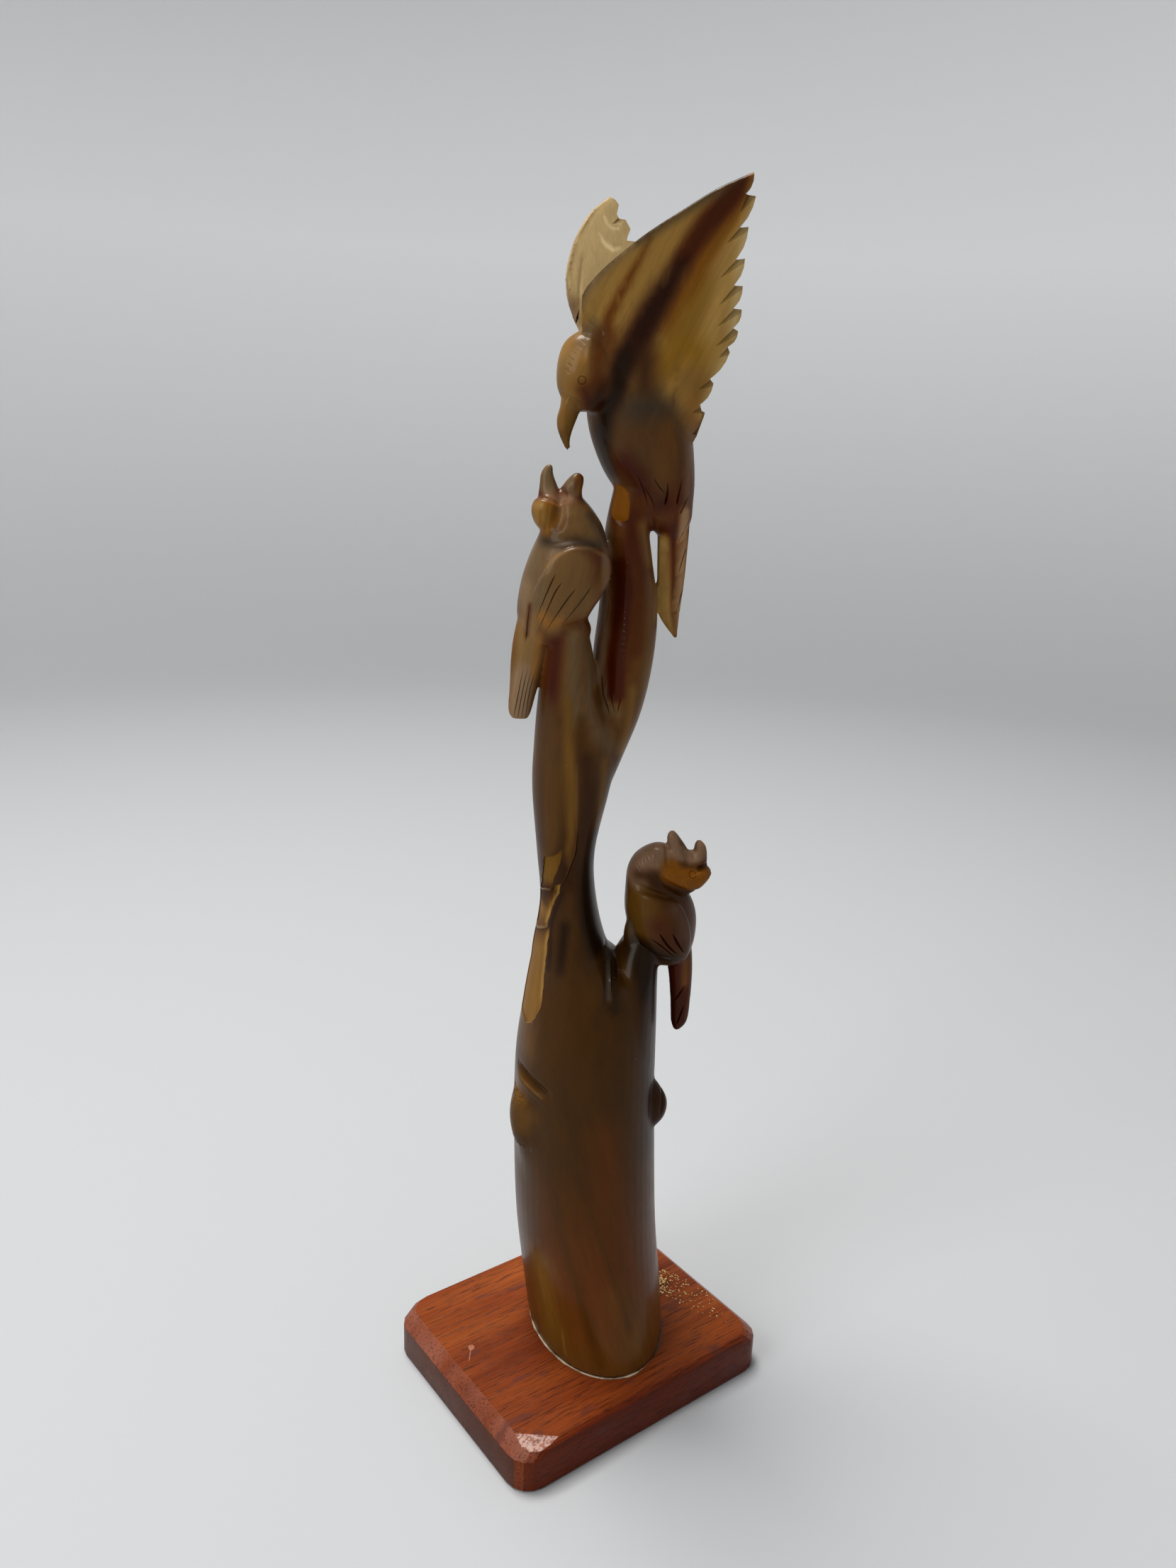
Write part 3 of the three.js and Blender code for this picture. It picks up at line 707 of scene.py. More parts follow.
softLines = [
    # points, width, depth: the adult's shoulder, face, cere and gape
    ([(-14.2, 341.6), (-12.6, 338.9), (-9.6, 336.5), (-8.2, 334.2)], 0.9, 0.7),
    ([(-11.4, 335.3), (-11.9, 330.4), (-12, 325.6)], 0.8, -0.35),
    ([(-9.6, 334), (-9.8, 328), (-10.4, 322)], 1.4, 0.3),
    ([(-20.4, 319.6), (-18.4, 318.6), (-16.4, 317.4), (-14.2, 316.2), (-12.8, 314)], 0.6, 0.5),
    ([(-17.8, 316.6), (-18.3, 311), (-17.2, 306.4)], 0.7, -0.25),
    # the left chick's neck, cheek and open bill
    ([(-23.4, 279.9), (-20.2, 279.5), (-16.7, 280.1), (-13.1, 280.5), (-9.6, 279.7), (-5.6, 277)], 1.7, 0.9),
    ([(-27, 291), (-24.6, 291.2), (-22, 290.6), (-19, 289.4)], 0.7, 0.5),
    ([(-19, 290), (-18.6, 286), (-19.6, 281.5)], 1.6, 0.7),
    ([(-19, 295), (-18.2, 292.6), (-16.8, 291.4)], 0.9, 0.8),
    ([(-15.1, 296.5), (-15.1, 291)], 0.5, -0.35),
    # the right chick's neck, cheek, mouth and the welt under its head
    ([(5.6, 175.3), (8.1, 175), (10.3, 174.2), (12.8, 173.6), (15.9, 172.8), (19, 171.4), (22.4, 169.4)],
     1, 1.1),
    ([(14.2, 178.6), (16.6, 176.4), (19.6, 174.6), (23, 173), (27, 173.2), (30, 175.6)], 1, 1.2),
    ([(10.6, 182.5), (12.4, 180.4), (14.8, 178.6)], 1.5, 0.9),
    ([(26.4, 180.6), (28, 180.7), (30.2, 181.4)], 0.7, 1.5),
    ([(16.7, 188), (17, 185), (17, 182)], 0.9, 0.8),
    ([(17.2, 181.4), (21.2, 180.8), (26, 180.6)], 0.6, 0.4),
    ([(21.6, 186.6), (23, 184.4), (25.2, 183.4)], 1.2, 0.7),
    # the lens-shaped knot on the left and the knob on the right
    ([(-25.2, 88), (-26.2, 98), (-25.8, 106)], 6, -3.6),
    ([(-27.4, 114.2), (-25.2, 113.4), (-21.5, 112), (-17.4, 110.8)], 1.2, 1.7),
    ([(-27.6, 110.8), (-24, 109.8), (-20, 108.4)], 1.0, -0.6),
    ([(18.9, 105.6), (19.4, 102), (18.8, 98)], 0.6, 0.7),
    # the crotch between trunk and right stump, and the scoop's foot
    ([(-0.8, 153.6), (-0.2, 148.5), (0.2, 143.6), (0, 139)], 1.6, 1.5),
    ([(2.6, 152), (2.8, 148), (1.6, 143)], 0.8, 0.5),
    ([(-2.6, 231), (-1.2, 227), (0.4, 223.6)], 1.2, 0.8),
    ([(-2, 281), (-2.6, 268), (-3.2, 250), (-2.8, 236), (-1.2, 226)], 2.6, 1.0),
    ([(0.9, 276), (1.1, 262), (1.6, 244), (1.6, 230)], 1.2, -0.5),
    # where the upper branch swells above the adult's perch
    ([(-3.4, 285.6), (0, 284.6), (2.6, 285.4)], 0.7, 0.5),
    ([(4.6, 275.5), (2.6, 273.6), (0.5, 272.2)], 0.5, -0.3),
    ([(-17.8, 254.3), (-15.3, 253.1), (-12, 253), (-9.2, 254.2)], 0.6, 0.45),
    # the fold along the far wing's leading edge
    ([(-15.4, 342), (-15.6, 346), (-15.5, 351), (-15.3, 356)], 0.5, 0.22),
    # two shell-shaped scars near its tip
    ([(-9.1, 369.6), (-8.3, 368), (-6.8, 367), (-5, 367)], 0.4, 0.16),
    ([(-10.5, 364.8), (-9.3, 363), (-7.8, 361.8), (-6.3, 361.1), (-4.2, 361.7)], 0.7, 0.24),
]
softBackLines = [
    ([(-14, 334), (-10, 330), (-8, 322)], 1.6, 0.8),
    ([(-23.4, 280), (-16, 280.6), (-8, 279)], 1.5, 1.1),
    ([(8, 175.4), (15.9, 173.6), (24, 172.4)], 1.2, 1.0),
]
raisedLeaves = [
    {   # the left chick's wing
        "outline": [(-22.1, 271.9), (-20.8, 274.4), (-18.7, 276.1), (-16.6, 277.2), (-14.5, 277.9),
                    (-12.3, 278), (-9.5, 277.9), (-7, 276.9), (-5.1, 274.9), (-4, 271.9), (-4.1, 269.4),
                    (-5.6, 267.2), (-7.2, 263.6), (-9.3, 260.5), (-11, 257.9), (-13.9, 256.2), (-16.4, 255.4),
                    (-18.2, 254.4), (-20.4, 252), (-24.6, 252.6), (-26.4, 258), (-25.6, 265)],
        "height": 1.7, "edge": 1.5, "fade": ((-26, 262), (-19.5, 268)),
    },
    {   # the right chick's wing
        "outline": [(6, 173.4), (10.3, 173), (15.9, 171.8), (19.5, 171), (22.4, 168.1), (24.4, 163.2),
                    (25.3, 157.9), (25, 152.6), (23.6, 150), (19, 151.2), (13, 153.6), (8, 159)],
        "height": 1.2, "edge": 1.2, "fade": ((5, 163), (12, 163)),
    },
    {   # the right chick's lower bill rim
        "outline": [(23.4, 173.6), (27.2, 174), (29.8, 176.2), (31, 179.2), (30, 180.4), (27.4, 179.6),
                    (24.6, 178.4), (21.6, 177.2)],
        "height": 0.5, "edge": 0.9,
    },
]

clay = Clay(carving)
for lines, fromBack in ((softLines, False), (softBackLines, True)):
    for points, width, depth in lines:
        clay.crease(points, width, depth, fromBack)
for leaf in raisedLeaves:
    clay.leaf(**leaf)
clay.done()
thin = carving.modifiers.new("Thin", "DECIMATE")
thin.ratio = min(1, bench["triangles"] / (2 * len(carving.data.polygons)))
applyModifiers(carving)
print("carving modelled:", len(carving.data.polygons), "faces")


# Knife work

def knifeRings(laid, width, depth, skew=0, widest=0.4):
    # the rings of a V knife pulled along a laid path, lifted a little above the surface
    lift, finest = 0.4, 0.06
    rings = []
    for i, (share, place, normal) in enumerate(laid):
        ahead = laid[min(i + 1, len(laid) - 1)][1] - laid[max(i - 1, 0)][1]
        side = normal.cross(ahead).normalized()
        rise = share / widest if share < widest else (1 - share) / (1 - widest)
        size = max(finest, math.sin(math.pi / 2 * min(1, rise)))
        deep, half = depth * size, width / 2 * size
        flare = (deep + lift) / deep
        offset = skew * half
        above = place + normal * lift
        rings.append([
            place - normal * deep + side * offset,
            above + side * (offset + (half - offset) * flare),
            above + side * (offset - (half + offset) * flare),
        ])
    return rings


def cutGrooves(obj, surface, name, lines, finish="engraved", fromBack=False, **knife):
    rings = [knifeRings(surface.path(line, 5, fromBack), **knife) for line in lines]
    cutWith(obj, shellFrom(name, rings, horn[finish]))


def prismRings(points, y0, y1):
    return [[Vector((x, y, z)) for x, z in points] for y in (y0, y1)]


# The trailing edges: feather tips and, from each notch of the near wing, a slanting chip

nearFeathers = {
    "tips": [(29.2, 374), (30.1, 368.9), (28.8, 361.7), (28.5, 354.2), (28.5, 347.6), (28.7, 341.9),
             (28.2, 336.5), (26.3, 331), (22.4, 322.9), (19.9, 315.4)],
    "notches": [(27.1, 369.2), (26.3, 361.4), (26, 353.8), (26, 347.6), (26.3, 342), (26.7, 337.2),
                (25.6, 332.5), (21.3, 324), (19.1, 317.3), (17.6, 309.5)],
    "chips": [(26.3, 364.9), (23.4, 357.5), (22.3, 349.2), (22.6, 342.7), (22.5, 337.3), (22.4, 332.3),
              (23.4, 329.6), (18.6, 321.3), (17.2, 315.2)],
    "bulge": 0.8,
    "outside": 14,
    "between": (-30, -3),
}
chipKnife = {"width": 2.9, "depth": 0.95, "skew": 0.85, "widest": 0.97, "finish": "cut"}
farFeathers = {
    "broken": [(-10, 379), (-8.6, 375.8), (-7.2, 375.4), (-6, 374.8), (-5.1, 373.7), (-5.6, 371),
               (-4.9, 369.9), (-2.9, 369.7), (-1.4, 367.4), (-2.1, 365.6), (-2.4, 363.9)],
    "tips": [(2.2, 364), (4.9, 358.6), (7, 353), (9, 347), (11, 340.6), (12.8, 333.6), (14.2, 326)],
    "notches": [(2.4, 359.6), (4.4, 354.2), (6.4, 348.4), (8.2, 342.2), (9.8, 335.8), (11.4, 329),
                (13, 320)],
    "bulge": 0.6,
    "outside": 16,
    "between": (7, 45),
}


def featherOutline(feathers):
    # from each tip round the feather's side into the next notch, then out to the next tip
    line = [Vector(p) for p in feathers.get("broken", [])]
    for tip, notch in zip(feathers["tips"], feathers["notches"]):
        tip, notch = Vector(tip), Vector(notch)
        run = notch - tip
        out = Vector((-run.y, run.x)).normalized() * feathers["bulge"]
        line += [tip + run * share + out * math.sin(math.pi * share) for share in (0, 0.3, 0.6, 0.85, 1)]
    first, last = line[0], line[-1]
    return line + [Vector((last.x + feathers["outside"], last.y - 1)),
                   Vector((first.x + feathers["outside"], first.y + 3)), Vector((first.x + 0.3, first.y + 3))]


def cutFeathers(obj, surface):
    for name, feathers in (("nearTrim", nearFeathers), ("farTrim", farFeathers)):
        rings = prismRings(featherOutline(feathers), *feathers["between"])
        cutWith(obj, shellFrom(name, [rings], horn["polished"]))
    chips = []
    for tip, notch, chip in zip(nearFeathers["tips"][1:], nearFeathers["notches"], nearFeathers["chips"]):
        mouth = ((tip[0] + notch[0]) / 2, (tip[1] + notch[1]) / 2 - 0.5)
        beyond = (mouth[0] + (mouth[0] - chip[0]) * 0.2, mouth[1] + (mouth[1] - chip[1]) * 0.2)
        chips.append([chip, mouth, beyond])
    cutGrooves(obj, surface, "featherChips", chips, **chipKnife)


grooveSets = {
    "leftWing": {"width": 0.5, "depth": 0.4, "lines": [
        [(-19.4, 270.4), (-21.2, 266.4), (-24.7, 257.5)], [(-17.6, 268.2), (-19.8, 264.4), (-23.9, 254.3)],
        [(-13.4, 266.8), (-16.8, 262.1), (-22.2, 253.2)], [(-9.5, 267), (-11.2, 264.1), (-17.8, 255.2)]]},
    "leftTail": {"width": 0.36, "depth": 0.3, "widest": 0.7, "lines": [
        [(-26.7, 261.5), (-27.4, 255), (-27.9, 250)], [(-28.3, 243), (-29.4, 236.6), (-31, 227.4)],
        [(-27.1, 242.4), (-28.3, 236.4), (-29.9, 227)], [(-26, 242), (-27.3, 236), (-28.8, 227)],
        [(-24.9, 241), (-26.3, 236), (-27.6, 227.4)]]},
    "rightWing": {"width": 0.9, "depth": 0.8, "lines": [
        [(15.2, 161.2), (18.3, 156.6), (21.7, 153)], [(19.4, 161.1), (21.3, 157.3), (23.7, 153.2)]]},
    "rightWingLow": {"width": 0.6, "depth": 0.5, "lines": [[(12.8, 158.9), (16.6, 156.2), (21, 151.8)]]},
    "rightTail": {"width": 0.8, "depth": 0.6, "widest": 0.6, "lines": [
        [(25.2, 139.5), (21.7, 132.8)], [(25.2, 132.1), (23.1, 124.6)]]},
    "adultCuts": {"width": 0.9, "depth": 0.7, "widest": 0.8, "lines": [
        [(11.3, 296.1), (11.5, 293), (11, 289.8)], [(15.5, 297.4), (14.4, 289.8)],
        [(17.9, 292.7), (15.6, 287.2)]]},
    "adultTail": {"width": 0.5, "depth": 0.45, "lines": [
        [(19, 286.5), (15.8, 278.6)], [(18.5, 278), (16.4, 269.4)], [(18.2, 266), (16.9, 259)]]},
    "farNotch": {"width": 1.5, "depth": 0.5, "skew": 0.6, "widest": 0.9, "finish": "cut", "lines": [
        [(-6.7, 367.9), (-5.2, 369), (-3.4, 370.4)]]},
    "farSlit": {"width": 0.7, "depth": 2.4, "widest": 0.15, "lines": [
        [(-16.4, 339.6), (-15.8, 341.4), (-15.4, 343.4)]]},
    "crown": {"width": 0.5, "depth": 0.1, "widest": 0.5, "finish": "polished", "lines": [
        [(x - 0.8, z + 0.7), (x + 0.8, z - 0.5)] for x, z in (
            (-12.4, 333.2), (-13.6, 331.9), (-14.8, 330.5), (-15.8, 329), (-16.6, 327.5), (-17.3, 326),
            (-17.9, 324.5))]},
    "nape": {"width": 0.5, "depth": 0.14, "widest": 0.5, "finish": "polished", "lines": [
        [(13, 185.9), (13.6, 184.6)], [(11.3, 185.3), (12.3, 183.6)], [(10.2, 184.6), (11.1, 182.7)],
        [(9.4, 183.8), (10.2, 181.7)], [(8.4, 182.6), (9.2, 181)], [(7.6, 181.3), (8.5, 180.2)]]},
    "scoop": {"width": 0.5, "depth": 0.3, "finish": "cut", "lines": [
        [(-4.6, 234.5), (-2.4, 228)], [(-2.8, 236), (-1.2, 229)], [(0.6, 234), (-0.4, 228.4)],
        [(-5.4, 240), (-4.6, 233)], [(-4, 262), (-4.6, 254)], [(-3.6, 272), (-4, 266)]]},
    "crotch": {"width": 0.6, "depth": 0.35, "finish": "cut", "lines": [
        [(-1.6, 152.6), (-1.4, 146)], [(0.8, 151), (1.2, 143)], [(2.4, 150), (2.8, 145)]]},
    "perch": {"width": 0.35, "depth": 0.25, "lines": [
        [(7.4, 297.2), (9.2, 294.6), (11, 293)], [(4.6, 295), (7, 291.5), (8.4, 288)],
        [(2.6, 298), (5, 293), (6.2, 289)]]},
    "waistCrack": {"width": 0.42, "depth": 0.35, "lines": [
        [(-11, 199.4), (-10.8, 193), (-11.1, 189.8), (-11.2, 187), (-11.8, 184.8), (-12.6, 182.7),
         (-13.7, 179.2), (-14.8, 176.8), (-15.7, 174.6)]]},
    "leftBack": {"width": 0.8, "depth": 0.6, "fromBack": True, "lines": [
        [(-10, 268), (-14, 262), (-20, 253)], [(-15, 270), (-18.5, 262), (-23.5, 253)],
        [(-19.5, 268), (-22, 261), (-25.5, 254)]]},
    "rightBack": {"width": 0.9, "depth": 0.7, "fromBack": True, "lines": [
        [(12, 163), (16, 157), (21, 152)], [(16.4, 165), (19.6, 158.6), (23, 153)]]},
}


eyes = [
    {"at": (-13.6, 322.2), "radius": 1.05, "width": 0.4, "depth": 0.2},
    {"at": (24.9, 179), "radius": 1, "width": 0.36, "depth": 0.2},
]


def cutEye(obj, surface, at, radius, width, depth):
    # a closed V groove round the eye
    count, lift, flare = 20, 0.3, 1.6
    turns = [2 * math.pi * k / count for k in range(count)]
    laid = [surface.at(at[0] + radius * math.cos(turn), at[1] + radius * math.sin(turn)) for turn in turns]
    rings = []
    for i, (place, normal) in enumerate(laid):
        side = normal.cross(laid[(i + 1) % count][0] - laid[i - 1][0]).normalized()
        above = place + normal * lift
        spread = side * flare * (width / 2)
        rings.append([place - normal * depth, above + spread, above - spread])
    cutWith(obj, shellFrom("eyeRing", [rings], horn["cut"], looped=True))


# Flakes: the outer layer of horn has split away at the waist and below the perch

flakes = [
    {   # the golden patch above the split
        "outline": [(-20.9, 184.3), (-18.3, 185.4), (-17, 186.3), (-15.6, 187.9), (-15.8, 184.8),
                    (-16.6, 181.4), (-17.5, 179.2), (-18, 177.4), (-19, 174.7), (-20.3, 174.2), (-22, 172.6),
                    (-21.7, 174.8), (-21.3, 179.5)], "depth": 0.3,
    },
    {   # the pale strip below it
        "outline": [(-27, 170.4), (-22.4, 171.9), (-20.4, 173.5), (-18.7, 174.1), (-17.4, 176.3),
                    (-15.5, 177.2), (-15.9, 174), (-17, 172.1), (-17.9, 169.5), (-18.7, 166.2),
                    (-19.6, 162.7), (-21.3, 161.4), (-23.1, 159.5), (-28, 158.5)], "depth": 0.42,
    },
    {   # the long leaf
        "outline": [(-30, 157.8), (-23.1, 158.7), (-21.2, 160.6), (-19.5, 162), (-18.4, 163), (-18.7, 160.6),
                    (-19.3, 157.4), (-19.4, 153.7), (-19.8, 149.2), (-20, 145.3), (-20.3, 139.4),
                    (-21, 136.2), (-22.2, 133.4), (-23.6, 130.6), (-25.4, 128.9), (-27.4, 130.2),
                    (-29.6, 136), (-33, 142)],
        "depth": 0.34,
    },
    {   # the golden patch on the perch
        "outline": [(-5, 287.7), (-4.6, 292), (-3.7, 295.8), (-1.4, 294.6), (0.6, 292.6), (0.9, 288.6),
                    (0.6, 285.3), (-1.6, 284.7), (-3.6, 285.4)], "depth": 0.16,
    },
]


def ragged(points, seed, size=0.16, apart=0.9):
    # small breaks along an outline, as horn splits
    rng = random.Random(seed)
    line = []
    for a, b in zip(points, points[1:] + points[:1]):
        a, b = Vector(a), Vector(b)
        count = max(1, int((b - a).length / apart))
        for k in range(count):
            wander = Vector((rng.uniform(-1, 1), rng.uniform(-1, 1))) * size * (k > 0)
            line.append(a.lerp(b, k / count) + wander)
    return line


def cutFlakes(obj):
    # each chip reaches down to a copy of the carving that has shrunk by the flake's depth
    for i, flake in enumerate(flakes):
        floor = ownCopy(obj)
        places, normals = meshArrays(floor.data)
        floor.data.vertices.foreach_set("co", (places - normals * flake["depth"]).ravel())
        giveFinish(floor, horn["flaked"])
        floor.data.polygons.foreach_set("material_index", [0] * len(floor.data.polygons))
        rings = prismRings(ragged(flake["outline"], 40 + i), -45, 0)
        chip = shellFrom("flake", [rings], horn["flaked"])
        cutWith(chip, floor)
        cutWith(obj, chip)


giveFinish(carving, horn["polished"])
surface = Surface(carving)
cutFlakes(carving)
for name, group in grooveSets.items():
    cutGrooves(carving, surface, name, **group)
for eye in eyes:
    cutEye(carving, surface, **eye)
cutFeathers(carving, surface)
print("knife work done:", len(carving.data.polygons), "faces")


# Horn colour, laid on as soft strokes over the finished form

hornTones = {
    # from the pale, clear horn of the tips to the black core; on the thin wings the pale tones also stand in
    # for light shining through, a painted glow
    "shell": (245, 220, 165),
    "cream": (195, 166, 114),
    "straw": (168, 130, 68),
    "sand": (152, 116, 80),
    "ochre": (148, 96, 38),
    "olive": (135, 100, 45),
    "haze": (134, 106, 78),
    "buff": (126, 95, 55),
    "gold": (130, 90, 20),
    "honey": (120, 84, 36),
    "rust": (116, 66, 6),
    "mist": (115, 86, 64),
    "amber": (104, 70, 20),
    "fawn": (104, 74, 40),
    "smoke": (98, 76, 50),
    "sienna": (96, 58, 20),
    "chestnut": (88, 41, 2),
    "tan": (85, 54, 14),
    "mauve": (84, 58, 50),
    "slate": (74, 68, 65),
    "umber": (75, 47, 20),
    "redBrown": (75, 33, 4),
    "brown": (60, 34, 4),
    "russet": (62, 21, 0),
    "shadow": (55, 43, 32),
    "oxblood": (57, 13, 0),
    "bark": (48, 22, 4),
    "soot": (34, 24, 16),
    "garnet": (34, 7, 0),
    "ink": (20, 6, 0),
    "matt": (0, 0, 0),
}

groundByHeight = [
    # height, tone
    (15, "sienna"), (45, "chestnut"), (90, "brown"), (150, "brown"), (190, "bark"), (215, "umber"),
    (245, "sienna"), (265, "redBrown"), (290, "oxblood"), (305, "umber"), (330, "olive"),
]

